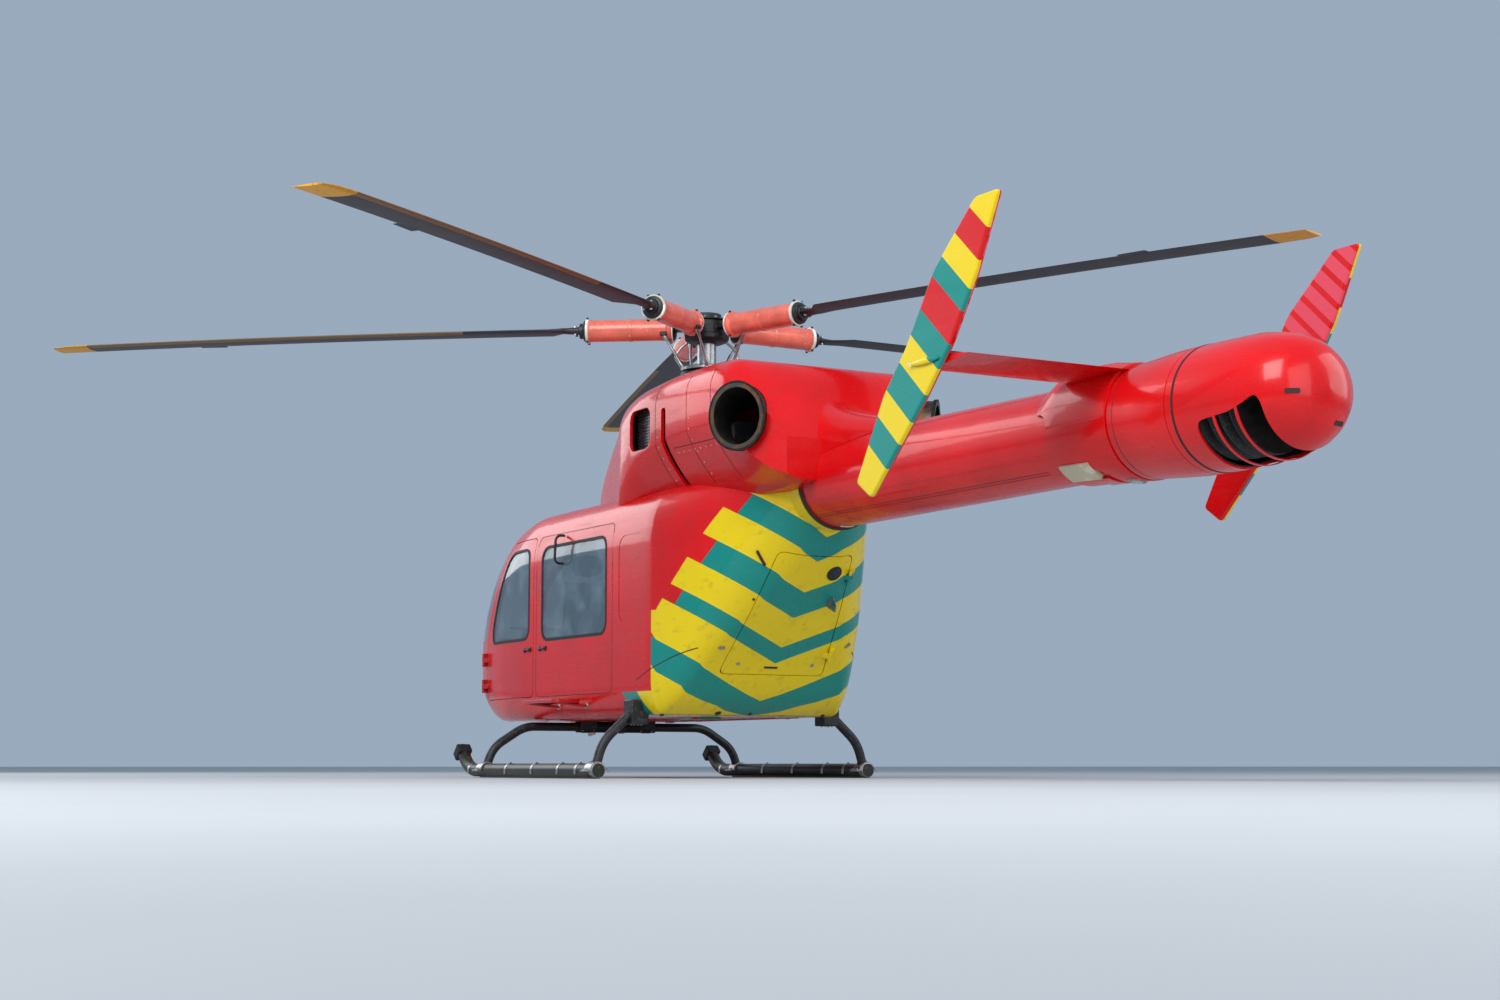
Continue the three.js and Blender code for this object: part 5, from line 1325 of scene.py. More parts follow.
arm_parts = {
    "pitch_case": (turned(case_profile, *ARM_AXIS), CORAL, "coral_paint", 0.002),
    "case_collars": (
        merged(turned(inner_collar, *ARM_AXIS), turned(outer_collar, *ARM_AXIS)), WHITE, "coral_paint", 0,
    ),
    "case_stub": (
        merged(turned(end_stub, *ARM_AXIS), turned(inner_cuff, *ARM_AXIS)), BLACK, "mast_steel", 0.002,
    ),
    "flex_beam": (block((0.10, -0.047, 3.383), (0.25, 0.047, 3.417)), BLACK, "coral_paint", 0.006),
    "case_bolts": (bolts(collar_bolts, UP, 0.0105, 0.0115), BLACK, "coral_paint", 0),
    "pitch_horn": (block((0.296, 0.045, 3.338), (0.35, 0.094, 3.372)), BLACK, "coral_paint", 0.008),
    "pitch_link": (swept(link_path, link_radius, 20, AFT), STEEL, "mast_steel", 0),
}
for i, turn in enumerate(ARM_TURNS, 1):
    for part, (mesh, finish, slot, edge) in arm_parts.items():
        piece(f"{part}_{i}", about_mast(mesh, turn), "rotor", finish, slot, edge=edge)
scissor = np.array([(0.186, 0, 3.09), (0.235, 0, 3.165), (0.24, 0, 3.19), (0.2, 0, 3.25), (0.135, 0, 3.305)])
scissor_bar = swept(bent(scissor, 0.02), 0.010, 12, AFT)
piece("scissor_links", merged(*[about_mast(scissor_bar, a) for a in (-28, 152)]), "rotor", STEEL)

# %% [markdown]
# A blade is a loft: its section is the wing section again, placed between a leading and a trailing edge
# that follow a short table. It hangs by 0.06 (share of the length)^2 m when parked. Each blade keeps a
# map of how far along and how far across a point is, which the finish reads for its strip and its tip.

# %% Blades
BLADE = np.array([
    # distance from the mast, leading edge, trailing edge, thickness
    (0.9803, 0.052, -0.052, 0.060),
    (1.070, 0.055, -0.060, 0.046),
    (1.105, 0.076, -0.070, 0.040),
    (1.220, 0.076, -0.178, 0.032),
    (1.900, 0.076, -0.178, 0.030),
    (4.860, 0.076, -0.178, 0.028),
    (5.060, 0.066, -0.178, 0.022),
    (5.155, 0.030, -0.178, 0.012),
])
DROOP = 0.06
BLADE_ROOT, BLADE_TIP = 0.98, 5.155


def blade_height(x):
    """How high the blade's middle is: the rotor's height less the droop at x."""
    return ROTOR_Z - DROOP * ((np.asarray(x) - BLADE_ROOT) / (BLADE_TIP - BLADE_ROOT)) ** 2


reach_parts = ((BLADE_ROOT + PANE_FIT, 1.22, 14), (1.28, 4.86, 40), (4.90, BLADE_TIP, 12))
reach = np.concatenate([np.linspace(*part) for part in reach_parts])
lead, trail, thick = (np.interp(reach, BLADE[:, 0], BLADE[:, k]) for k in (1, 2, 3))
foil = wing_section(24)
foil[:, 1] += 0.03 * foil[:, 0] * np.sign(foil[:, 1])
rings = np.empty((len(reach), len(foil), 3))
rings[..., 0] = reach[:, None]
rings[..., 1] = lead[:, None] + (trail - lead)[:, None] * foil[None, :, 0]
rings[..., 2] = blade_height(reach)[:, None] + thick[:, None] * foil[None, :, 1]
tab_z = blade_height(3.93)
blade_mesh = merged(capped(rings), block((3.83, -0.222, tab_z - 0.0016), (4.04, -0.170, tab_z + 0.0016)))
local = blade_mesh[0]
front, back = (np.interp(local[:, 0], reach, side) for side in (lead, trail))
span_points = np.stack([local[:, 0], (front - local[:, 1]) / np.maximum(front - back, 0.01)], 1)
root_bolts = bolts(
    [(1.012, y, ROTOR_Z + 0.0275 * s) for y in (0.027, -0.027) for s in (1, -1)], UP, 0.012, 0.008,
)
for i, turn in enumerate(ARM_TURNS, 1):
    turned_blade = about_mast(blade_mesh, turn)
    blade = piece(f"rotor_blade_{i}", turned_blade, "rotor", BLADE_SKIN, "blade_skin", (f"blade_{i}",), 40)
    corners = np.empty(len(blade.data.loops), np.int32)
    blade.data.loops.foreach_get("vertex_index", corners)
    span = blade.data.uv_layers.new(name="span")
    span.uv.foreach_set("vector", span_points[corners].astype(np.float32).ravel())
    piece(f"blade_root_bolts_{i}", about_mast(root_bolts, turn), "rotor", STEEL)

# %% [markdown]
# The landing gear is two bent tubes across the body and two skids. The tubes are drawn as a circle
# carried along a path with rounded corners. Two clamps hold each skid, and a flat wear shoe under it
# takes the scraping. The toes turn up and end in a square plug.

# %% Skids and cross tubes
BAND_PLACES = (-1.72, -1.02, -0.55, -0.1, 0.2)


def saddle(inner, outer, foot, low, high):
    """A clamp over a round tube along y, open below: an outer arc, two feet and an inner arc, as (x, z)."""
    t = np.radians(np.linspace(180, 0, 25))
    over = np.stack([outer * np.cos(t), outer * np.sin(t)], 1)
    under = np.stack([inner * np.cos(t[::-1]), inner * np.sin(t[::-1])], 1)
    outline = np.concatenate(
        [[(-outer, -foot)], over, [(outer, -foot)], [(inner, -foot)], under, [(-inner, -foot)]]
    )
    return prism(outline, "y", low, high)


def moved(mesh, by):
    """A mesh shifted by a vector."""
    return np.asarray(mesh[0]) + np.asarray(by, float), mesh[1]


skid_line = [(0, 0.48, SKID_Z), (0, -1.8, SKID_Z), (0, -1.98, 0.228)]
for name, s in SIDES:
    at = (s * SKID_X, 0, 0)
    path = bent(skid_line, 0.13, 16) + at
    piece(f"skid_tube_{name}", swept(path, 0.05, 40), ROOT, SKID, "skid_paint", (f"skid_{name}",), 40)
    piece(f"skid_shoe_{name}", moved(block((-0.022, -1.56, 0), (0.022, 0.46, 0.02)), at), ROOT, SKID,
          "skid_paint", edge=0.003)
    toe = unit(path[-1] - path[-2])
    plug = block((-0.058, -0.06, -0.075), (0.058, 0.056, 0.006))
    piece(f"skid_toe_plug_{name}", set_on(plug, path[-1] - toe * 0.008, toe, UP), ROOT, RUBBER,
          edge=0.012, edge_steps=3)
    cap = [(-0.055, 0.0505), (-0.052, 0.054), (-0.004, 0.054), (-0.0005, 0.047), (-0.0005, 0.0005)]
    piece(f"skid_end_cap_{name}", turned(cap, (s * SKID_X, 0.48, SKID_Z), AFT, 40), ROOT, STEEL)
    middle = (s * SKID_X, 0, SKID_Z)
    bands = [moved(saddle(0.0495, 0.0535, 0.028, y - 0.014, y + 0.014), middle) for y in BAND_PLACES]
    piece(f"skid_bands_{name}", merged(*bands), ROOT, STEEL, edge=0.0012)
    studs = [(s * SKID_X, y, 0.111) for y in BAND_PLACES]
    piece(f"skid_studs_{name}", bolts(studs, UP, 0.008, 0.006), ROOT, BLACK)
    for part, y in (("front", -1.5), ("rear", 0.42)):
        clamp = moved(saddle(0.0505, 0.064, 0.010, y - 0.05, y + 0.05), middle)
        ears = [
            block((s * SKID_X + k * 0.06, y - 0.05, 0.049), (s * SKID_X + k * 0.094, y + 0.05, 0.063))
            for k in (1, -1)
        ]
        piece(f"skid_clamp_{part}_{name}", merged(clamp, *ears), ROOT, STEEL, "skid_paint", edge=0.003)
        ear_bolts = [(s * SKID_X + k * 0.08, y + d, 0.067) for k in (1, -1) for d in (0.03, -0.03)]
        piece(f"clamp_bolts_{part}_{name}", bolts(ear_bolts, UP, 0.0075, 0.006), ROOT, STEEL)
FOOT_RADII = [0.046, 0.046, 0.043, 0.0405, 0.0395, 0.039, 0.0385, 0.0375]
for part, line in (("front", FRONT_TUBE), ("rear", REAR_TUBE)):
    path = bent(line, 0.09, 12)
    piece(f"{part}_cross_tube_bar", swept(path, 0.034, 32, AFT), ROOT, BLACK, "black_paint",
          (f"{part}_cross_tube",), 40)
    ends = ((path[0], path[1]), (path[-1], path[-2]))
    feet = [swept(np.linspace(a, a + (b - a) * 0.55, 8), FOOT_RADII, 28, AFT) for a, b in ends]
    piece(f"{part}_tube_feet", merged(*feet), ROOT, BLACK, edge=0.002)
FRONT_Y, FRONT_Z = -1.5, 0.398
front_sleeve = [
    (-0.35, 0.0345), (-0.346, 0.044), (0.346, 0.044), (0.35, 0.0345), (0.35, 0.034), (-0.35, 0.034),
    (-0.35, 0.0345),
]
piece("front_tube_sleeve", turned(front_sleeve, (0, FRONT_Y, FRONT_Z), PORT, 40), ROOT, RUBBER)
for name, s in SIDES:
    piece(
        f"front_tube_saddle_{name}", block((s * 0.19, -1.553, 0.372), (s * 0.335, -1.447, 0.452)), ROOT,
        BLACK, "black_paint", edge=0.006,
    )
    strap = [(-0.033, 0.0445), (-0.033, 0.0475), (0.033, 0.0475), (0.033, 0.0445), (-0.033, 0.0445)]
    piece(f"front_tube_strap_{name}", turned(strap, (s * 0.27, FRONT_Y, FRONT_Z), PORT, 40), ROOT, BLACK)
    saddle_bolts = [(s * 0.2625 + a, FRONT_Y + b, 0.370) for a in (0.05, -0.05) for b in (0.034, -0.034)]
    piece(f"front_saddle_bolts_{name}", bolts(saddle_bolts, (0, 0, -1), 0.007, 0.006), ROOT, STEEL)
    bracket = block((s * 0.735, 0.352, 0.385), (s * 0.872, 0.488, 0.560))
    piece(f"rear_tube_bracket_{name}", bracket, ROOT, BLACK, "black_paint", edge=0.008)
    bracket_bolts = [(s * (0.775 + a), 0.395 + b, 0.383) for a in (0, 0.055) for b in (0, 0.05)]
    piece(f"rear_bracket_bolts_{name}", bolts(bracket_bolts, (0, 0, -1), 0.0075, 0.005), ROOT, STEEL)
piece(
    "front_beam_bracket",
    merged(
        block((-0.075, -1.545, 0.352), (0.075, -1.455, 0.40)),
        block((-0.045, -1.56, 0.395), (0.045, -1.44, 0.452)),
    ),
    ROOT, BLACK, edge=0.006,
)
beam_bolts = [(a, b, 0.350) for a in (-0.05, 0.05) for b in (-1.525, -1.475)]
piece("front_beam_bolts", bolts(beam_bolts, (0, 0, -1), 0.008, 0.005), ROOT, STEEL)

# %% [markdown]
# The boarding steps are red plates on two thin arms, with a crease along the middle and four grit
# strips. The hook plate under the belly is a flat pad, painted with it, with four sunk screws.

# %% Steps and hook plate
STEP_ARMS = (-0.885, -0.405)
for name, s in SIDES:
    outline = [(s * 0.86, -0.93), (s * 1.09, -0.93), (s * 1.09, -0.36), (s * 0.86, -0.36)]
    tray = prism(inset(outline, 0.012 * s), "z", 0.55, 0.566, 0.042)
    crease = block((s * 0.98 - 0.0025, -0.95, 0.579), (s * 0.98 + 0.0025, -0.34, 0.59))
    plate = carved(prism(outline, "z", 0.556, 0.582, 0.05), *away(tray, crease))
    finished(f"step_plate_{name}", plate, ROOT, TRIM_RED, "red_paint", (f"step_{name}",), edge=0.003)
    strips = [
        block((s * x, -0.89, 0.5805), (s * (x + 0.028), -0.40, 0.5825))
        for x in (0.895, 0.935, 1.0, 1.04)
    ]
    piece(f"step_grip_{name}", merged(*strips), ROOT, RUBBER)
    arms = [
        swept(bent([(s * 0.76, y, 0.54), (s * 0.84, y, 0.54), (s * 1.04, y, 0.562)], 0.03), 0.013, 20, AFT)
        for y in STEP_ARMS
    ]
    piece(f"step_arms_{name}", merged(*arms), ROOT, TRIM_RED, "red_paint")
    feet = [turned([(-0.02, 0.026), (0.0, 0.026), (0.007, 0.022), (0.007, 0.0005)],
                   (s * (skin_x(BODY, y, 0.54) - 0.001), y, 0.54), (s, 0, 0), 28) for y in STEP_ARMS]
    piece(f"step_arm_feet_{name}", merged(*feet), ROOT, STEEL)
hook_corners = [(a, b, 0.4375) for a in (-0.058, 0.058) for b in (-0.058, 0.058)]
hook_hole = [(-0.001, 0.0075), (0.004, 0.0045), (0.006, 0.0045)]
hook_screw = [(0.002, 0.0055), (0.008, 0.0042), (0.008, 0.0005)]
hook = carved(
    block((-0.08, -0.08, 0.438), (0.08, 0.08, 0.4497)),
    *away(*[turned(hook_hole, p, UP, 20) for p in hook_corners]),
)
finished("belly_hook_plate_pad", hook, ROOT, BANDED, "black_paint", ("hook_plate",))
piece("hook_plate_screws", merged(*[turned(hook_screw, p, UP, 16) for p in hook_corners]), ROOT, BLACK)

# %% [markdown]
# A hinge is one knuckle on the door between two on the frame, with brackets that reach down to the
# skin. The crew doors' hinge lines are upright. The baggage door's line runs up the slope of the tail.

# %% Door hinges
def on_line(mesh, start, along, out, distance):
    """A mesh drawn with x across the door, y outwards and z along the hinge, put on its line."""
    a, o = unit(along), unit(out)
    across = unit(np.cross(o, a))
    points = np.asarray(mesh[0])
    place = np.asarray(start) + a * distance
    return place + points[:, :1] * across + points[:, 1:2] * np.cross(a, across) + points[:, 2:] * a, mesh[1]


def hinge_parts(side, depth):
    """One knuckle with its bracket: a round barrel and an outline that falls away to the skin."""
    barrel = turned([(-0.018, 0.0095), (-0.0165, 0.011), (0.0165, 0.011), (0.018, 0.0095)], (0, 0, 0), UP, 28)
    bracket = [
        (side * 0.003, -0.009), (side * 0.008, 0.004), (side * 0.02, 0.003), (side * 0.046, -depth * 0.45),
        (side * 0.046, -depth), (side * 0.004, -depth),
    ]
    return merged(barrel, prism(bracket, "z", -0.018, 0.018))


KNUCKLE_STEP = 0.0365
HINGES = {
    f"crew_door_{name}": (
        (s * 0.768, -2.396, 0), (0, 0, -s), (s, 0, 0), [-s * z for z in (0.74, 0.955)], 0.05,
    )
    for name, s in SIDES
}
HINGES["rear_door"] = ((-0.43, 0.997, 0.745), (0.131, 0.608, 0.8), (0, 0.79, -0.61), [0.16, 0.84], 0.052)
for name, (start, along, out, distances, depth) in HINGES.items():
    door = [on_line(hinge_parts(1, depth), start, along, out, d) for d in distances]
    still = [
        on_line(hinge_parts(-1, depth), start, along, out, d + k * KNUCKLE_STEP)
        for d in distances for k in (-1, 1)
    ]
    finish = BANDED if name == "rear_door" else TRIM_RED
    piece(f"{name}_hinge_leaf", merged(*door), name, finish, "red_paint", edge=0.0015)
    piece(f"{name}_frame_knuckles", merged(*still), ROOT, finish, "red_paint", edge=0.0015)

# %% [markdown]
# Inside, only what shows through the panes needs its full shape: the instrument console on its
# pedestal, the crew seats, the rear bench and the floor mat.

# %% Instrument console
CONSOLE = [(-2.6, 0.9), (-2.28, 0.88), (-2.25, 1.19), (-2.42, 1.23)]
console = prism(CONSOLE, "x", -0.4, 0.4, 0.03)
piece("console_shell", console, ROOT, PANEL, "panel_plastic", ("instrument_panel",), edge=0.01)
piece(
    "console_pedestal", block((-0.15, -2.48, 0.62), (0.15, -2.0, 0.9)), ROOT, PANEL, "panel_plastic",
    edge=0.015,
)


def on_console(x, up, proud=0.0):
    """A place on the console's aft face, so far up from its lower edge and so proud of it."""
    low, high = np.array((-2.28, 0.88)), np.array((-2.25, 1.19))
    run = unit(high - low)
    y, z = low + run * up + np.array((run[1], -run[0])) * proud
    return x, y, z


FACE_OUT = np.array((0.0, 0.31, -0.03))
for k, x in enumerate((-0.27, -0.09, 0.09, 0.27), 1):
    frame_box = block(on_console(x - 0.08, 0.09, -0.004), on_console(x + 0.08, 0.265, 0.006))
    piece(f"display_frame_{k}", frame_box, ROOT, PANEL, edge=0.004)
    glass_box = block(on_console(x - 0.066, 0.105, 0.002), on_console(x + 0.066, 0.25, 0.0075))
    piece(f"display_glass_{k}", glass_box, ROOT, SCREEN, edge=0.002)
knob = [(-0.004, 0.011), (0.012, 0.010), (0.016, 0.008), (0.016, 0.0005)]
knobs = [turned(knob, on_console(x, 0.045), FACE_OUT, 20) for x in np.linspace(-0.34, 0.34, 11)]
piece("console_knobs", merged(*knobs), ROOT, RUBBER)
radios = [block((-0.12, y, 0.898), (0.12, y + 0.075, 0.91)) for y in (-2.44, -2.34, -2.24, -2.14)]
piece("pedestal_panels", merged(*radios), ROOT, PANEL, edge=0.003)
shield = [(-2.66, 1.235), (-2.22, 1.20), (-2.20, 1.212), (-2.24, 1.228), (-2.66, 1.252)]
piece("glare_shield", prism(shield, "x", -0.42, 0.42), ROOT, PANEL, edge=0.006)
piece(
    "cabin_floor_mat",
    prism([(-0.64, -1.95), (0.64, -1.95), (0.64, 0.55), (-0.64, 0.55)], "z", 0.6262, 0.631, 0.05), ROOT,
    FLOOR_MAT,
)

# %% [markdown]
# Seat cushions are foam in a sewn cover. Each starts a little small as a rounded block, then a cloth
# solver blows it up with light pressure: the middle crowns and the sides pull in between the corners.
# Sewn channels are pressed in after that. Each cushion is worked out once and shared between the seats.

# %% Cushions
PILLOW_POWER, PILLOW_STEPS = 3.2, 30
CLOTH_PRESSURE, CLOTH_FRAMES = 4.0, 20
VOXEL, QUICK_VOXEL = 0.007, 0.02
CHANNEL_DEPTH, CHANNEL_WIDTH = 0.006, 0.007


def pillow(half):
    """A rounded block: directions scaled so that |x/a|^n + |y/b|^n + |z/c|^n = 1, on a cube's grid."""
    t = np.tan(np.linspace(-np.pi / 4, np.pi / 4, PILLOW_STEPS))
    a, b = np.meshgrid(t, t, indexing="ij")
    one = np.ones_like(a)
    faces = [np.stack(f, -1) for f in (
        (one, a, b), (-one, b, a), (b, one, a), (a, -one, b), (a, b, one), (b, a, -one))]
    lengths = [(np.abs(f) ** PILLOW_POWER).sum(-1, keepdims=True) ** (1 / PILLOW_POWER) for f in faces]
    meshes = [grid(f / length * half) for f, length in zip(faces, lengths)]
    points, quads = merged(*meshes)
    _, first, back = np.unique(points.round(6), axis=0, return_index=True, return_inverse=True)
    back = back.ravel()
    return outward((points[first], [[int(back[n]) for n in q] for q in quads]))


def stuffed(mesh, cap=0.014):
    """The mesh after the cloth solver: voxel remesh, pressure, no gravity, 20 frames, moves capped."""
    points, faces = mesh
    data = bpy.data.meshes.new("foam")
    data.from_pydata(points, [], faces)
    item = bpy.data.objects.new("foam", data)
    bpy.context.scene.collection.objects.link(item)
    remesh = item.modifiers.new("Remesh", "REMESH")
    remesh.mode, remesh.voxel_size = "VOXEL", VOXEL
    bpy.context.view_layer.update()
    even = bpy.data.meshes.new_from_object(item.evaluated_get(bpy.context.evaluated_depsgraph_get()))
    item.modifiers.clear()
    item.data = even
    start = np.empty(len(even.vertices) * 3, np.float32)
    even.vertices.foreach_get("co", start)
    start = start.reshape(-1, 3)
    moved_to = start
    cloth = item.modifiers.new("Cloth", "CLOTH")
    cloth.settings.use_pressure = True
    cloth.settings.uniform_pressure_force = CLOTH_PRESSURE
    cloth.settings.effector_weights.gravity = 0.0
    scene = bpy.context.scene
    for number in range(1, CLOTH_FRAMES + 1):
        scene.frame_set(number)
    soft = bpy.data.meshes.new_from_object(item.evaluated_get(bpy.context.evaluated_depsgraph_get()))
    moved_to = np.empty(len(soft.vertices) * 3, np.float32)
    soft.vertices.foreach_get("co", moved_to)
    moved_to = moved_to.reshape(-1, 3)
    scene.frame_set(1)
    shift = moved_to - start
    length = np.linalg.norm(shift, axis=1, keepdims=True)
    result = start + shift * np.minimum(1, cap / np.maximum(length, 1e-9))
    quads = [list(p.vertices) for p in even.polygons]
    bpy.data.objects.remove(item)
    furthest = float(np.minimum(length, cap).max()) * 1000
    print("cushion:", len(result), "points, moved up to", round(furthest, 1), "mm")
    return result.astype(float), quads


def sewn(mesh, lines):
    """Channels pressed into a cushion: points near x = line go towards the middle by depth exp(-(d/w)^2)."""
    points, faces = mesh
    pull = sum(np.exp(-((points[:, 0] - line) / CHANNEL_WIDTH) ** 2) for line in lines)
    return points - unit(points + 1e-9) * (pull * CHANNEL_DEPTH)[:, None], faces


def placed(mesh, centre, lean=0.0):
    """A mesh leant back about x and put at a place: y' = y cos t + z sin t, z' = z cos t - y sin t."""
    points, faces = mesh
    x, y, z = np.asarray(points).T
    c, s = math.cos(lean), math.sin(lean)
    return np.stack([x, y * c + z * s, z * c - y * s], 1) + centre, faces


SEAT_LEAN, BENCH_LEAN = math.radians(8), math.radians(4.5)
SEAT_SHELL = [
    (-1.79, 0.70), (-1.81, 0.84), (-1.43, 0.84), (-1.335, 0.88), (-1.265, 1.53), (-1.235, 1.53),
    (-1.30, 0.80), (-1.31, 0.70),
]
seat_pan = sewn(stuffed(pillow((0.206, 0.196, 0.058))), (-0.12, 0.12))
seat_back = sewn(stuffed(pillow((0.196, 0.046, 0.296))), (-0.11, 0.11))
head_rest = stuffed(pillow((0.125, 0.036, 0.084)), cap=0.008)
for name, s in SIDES:
    x = s * 0.38
    cushions = {
        "pan": placed(seat_pan, (x, -1.615, 0.905)),
        "back": placed(seat_back, (x, -1.318, 1.24), SEAT_LEAN),
        "head_rest": placed(head_rest, (x, -1.262, 1.662), SEAT_LEAN),
    }
    for part, mesh in cushions.items():
        replaces = (f"crew_seat_{name}",) if part == "pan" else ()
        pad = piece(f"crew_seat_{part}_{name}", mesh, ROOT, CLOTH, "seat_cloth", replaces, 80)
    shell = prism(SEAT_SHELL, "x", x - 0.2, x + 0.2, 0.02)
    piece(f"crew_seat_shell_{name}", shell, ROOT, PANEL, "panel_plastic", edge=0.008)
    rails = [
        block((x + k * 0.13 - 0.015, -1.72, 0.6312), (x + k * 0.13 + 0.015, -1.38, 0.70))
        for k in (-1, 1)
    ]
    piece(f"crew_seat_rails_{name}", merged(*rails), ROOT, STEEL, edge=0.003)
    stem = np.stack([np.full(5, x), np.linspace(-1.262, -1.258, 5), np.linspace(1.5, 1.6, 5)], 1)
    posts = [moved(swept(stem, 0.006, 12), (k * 0.06, 0, 0)) for k in (-1, 1)]
    piece(f"head_rest_posts_{name}", merged(*posts), ROOT, STEEL)

bench_pan = sewn(stuffed(pillow((0.205, 0.172, 0.055))), (0.0,))
bench_back = sewn(stuffed(pillow((0.203, 0.040, 0.26))), (0.0,))
for k, x in enumerate((-0.425, 0.0, 0.425), 1):
    for part, mesh in (
        ("pan", placed(bench_pan, (x, 0.265, 0.912))),
        ("back", placed(bench_back, (x, 0.492, 1.235), BENCH_LEAN)),
    ):
        replaces = ("cabin_bench",) if (k, part) == (2, "pan") else ()
        pad = piece(f"bench_{part}_{k}", mesh, ROOT, CLOTH, "seat_cloth", replaces, 80)
bench_shell = [
    (0.10, 0.70), (0.09, 0.85), (0.44, 0.85), (0.475, 0.9), (0.525, 1.52), (0.55, 1.52), (0.55, 0.70),
]
piece("bench_shell", prism(bench_shell, "x", -0.63, 0.63, 0.02), ROOT, PANEL, "panel_plastic", edge=0.008)
piece("bench_base", block((-0.56, 0.16, 0.6312), (0.56, 0.5, 0.70)), ROOT, PANEL, "panel_plastic", edge=0.006)

# %% [markdown]
# The belly and the slope of the tail carry many small fittings: pads, drains, latches, an aerial pod
# and two blade aerials. Each is drawn once, flat and facing up, then set on the skin. The way out of
# the skin comes from two slopes, measured over a centimetre.

# %% Places under the body
def on_belly(x, y, proud=0.0):
    """A place under the body and the way out there: n = (dz/dx, dz/dy, -1) from two short steps."""
    z = belly_z(BODY, [x, x + 0.01, x], [y, y, y + 0.01])
    out = unit((z[1] - z[0], z[2] - z[0], -0.01))
    return np.array((x, y, z[0])) + out * proud, out


def button(radius, height):
    """A round fitting with a soft rim, its foot sunk 8 mm."""
    return turned(
        [(-0.008, radius), (height * 0.6, radius), (height, radius * 0.86), (height, radius * 0.05)],
        (0, 0, 0), UP, 24,
    )


def pad(width, length, height, corner=0.01):
    """A flat fitting with rounded corners, its foot sunk 8 mm."""
    outline = np.array([(-0.5, -0.5), (0.5, -0.5), (0.5, 0.5), (-0.5, 0.5)]) * (width, length)
    return prism(outline, "z", -0.008, height, corner)


def egg(width, length, height):
    """Half an egg: rings shrink as sqrt(1 - h^2) towards the top, and the fore end is narrower."""
    share = np.sin(np.linspace(0, np.pi / 2 - 0.02, 10))
    t = np.linspace(0, 2 * np.pi, 40, endpoint=False)[None, :]
    size = np.sqrt(1 - share**2)[:, None]
    x = size * np.cos(t) * width / 2 * (1 + 0.16 * np.sin(t))
    y = size * np.sin(t) * length / 2
    rings = np.stack([x, y, np.broadcast_to(share[:, None] * height, x.shape)], -1)
    return capped(np.concatenate([rings[:1] - (0, 0, 0.008), rings]))


CROSS = ((0.012, 0.05), (0.05, 0.012))  # the width and length of its two bars
FITTINGS = (
    # name, x, y, mesh, finish, body
    ("belly_pad_1", -0.335, -1.756, pad(0.085, 0.085, 0.006, 0.014), WHITE, ROOT),
    ("belly_pad_2", 0.257, -1.761, pad(0.085, 0.085, 0.006, 0.014), WHITE, ROOT),
    ("belly_pad_3", 0.479, -1.839, pad(0.06, 0.10, 0.006, 0.02), WHITE, ROOT),
    ("belly_pad_4", -0.025, -2.251, pad(0.085, 0.10, 0.006, 0.014), WHITE, ROOT),
    ("belly_pad_marks", -0.025, -2.251, merged(*[pad(*w, 0.0075, 0.003) for w in CROSS]), SEAM, ROOT),
    ("belly_marker", -0.536, -1.58, pad(0.045, 0.085, 0.012, 0.01), WHITE, ROOT),
    ("belly_brass_port", 0.69, 0.03, button(0.018, 0.007), BRASS, ROOT),
    ("belly_brass_starboard", -0.69, 0.03, button(0.018, 0.007), BRASS, ROOT),
    ("belly_pod", -0.06, -1.82, egg(0.15, 0.27, 0.05), BEIGE, ROOT),
    ("belly_slot", -0.037, -1.998, pad(0.09, 0.022, 0.003, 0.008), SEAM, ROOT),
    ("belly_drain_1", -0.173, -2.004, pad(0.018, 0.06, 0.004, 0.008), BLACK, ROOT),
    ("belly_drain_2", -0.133, -1.96, button(0.008, 0.004), BLACK, ROOT),
    ("belly_drain_3", 0.023, -0.765, button(0.009, 0.004), BLACK, ROOT),
    ("belly_drain_4", -0.060, -0.762, button(0.009, 0.004), BLACK, ROOT),
    ("belly_fuel_drain", 0.0, 0.66, button(0.014, 0.006), BLACK, ROOT),
    ("belly_dot_port", 0.272, 0.669, button(0.024, 0.008), BLACK, ROOT),
    ("belly_dot_edge", 0.700, 0.618, button(0.016, 0.008), BLACK, ROOT),
    ("belly_dot_starboard", -0.622, 0.651, button(0.016, 0.008), BLACK, ROOT),
    ("belly_round_vent", 0.472, -2.496, merged(button(0.04, 0.005), button(0.022, 0.010)), WHITE, ROOT),
    ("slope_latch_port", 0.482, 1.095, pad(0.05, 0.022, 0.010, 0.008), STEEL, ROOT),
    ("slope_latch_starboard", -0.549, 1.109, pad(0.05, 0.022, 0.010, 0.008), STEEL, ROOT),
    ("slope_bar", 0.395, 1.495, pad(0.12, 0.018, 0.012, 0.006), SEAM, ROOT),
    ("slope_stud", 0.371, 1.351, button(0.010, 0.006), BLACK, ROOT),
    ("rear_door_port_rim", -0.179, 1.53, button(0.058, 0.006), RUBBER, "rear_door"),
    ("rear_door_port_glass", -0.179, 1.53, button(0.046, 0.009), BLACK, "rear_door"),
    ("rear_door_slot", 0.023, 0.992, pad(0.11, 0.016, 0.003, 0.006), SEAM, "rear_door"),
    ("rear_door_lock_1", 0.30, 1.01, button(0.014, 0.006), STEEL, "rear_door"),
    ("rear_door_lock_2", -0.31, 1.01, button(0.014, 0.006), STEEL, "rear_door"),
    ("rear_door_aerial_foot", -0.24, 1.37, pad(0.035, 0.075, 0.008, 0.014), STEEL, "rear_door"),
)
for name, x, y, mesh, finish, body in FITTINGS:
    piece(name, set_on(mesh, *on_belly(x, y)), body, finish)
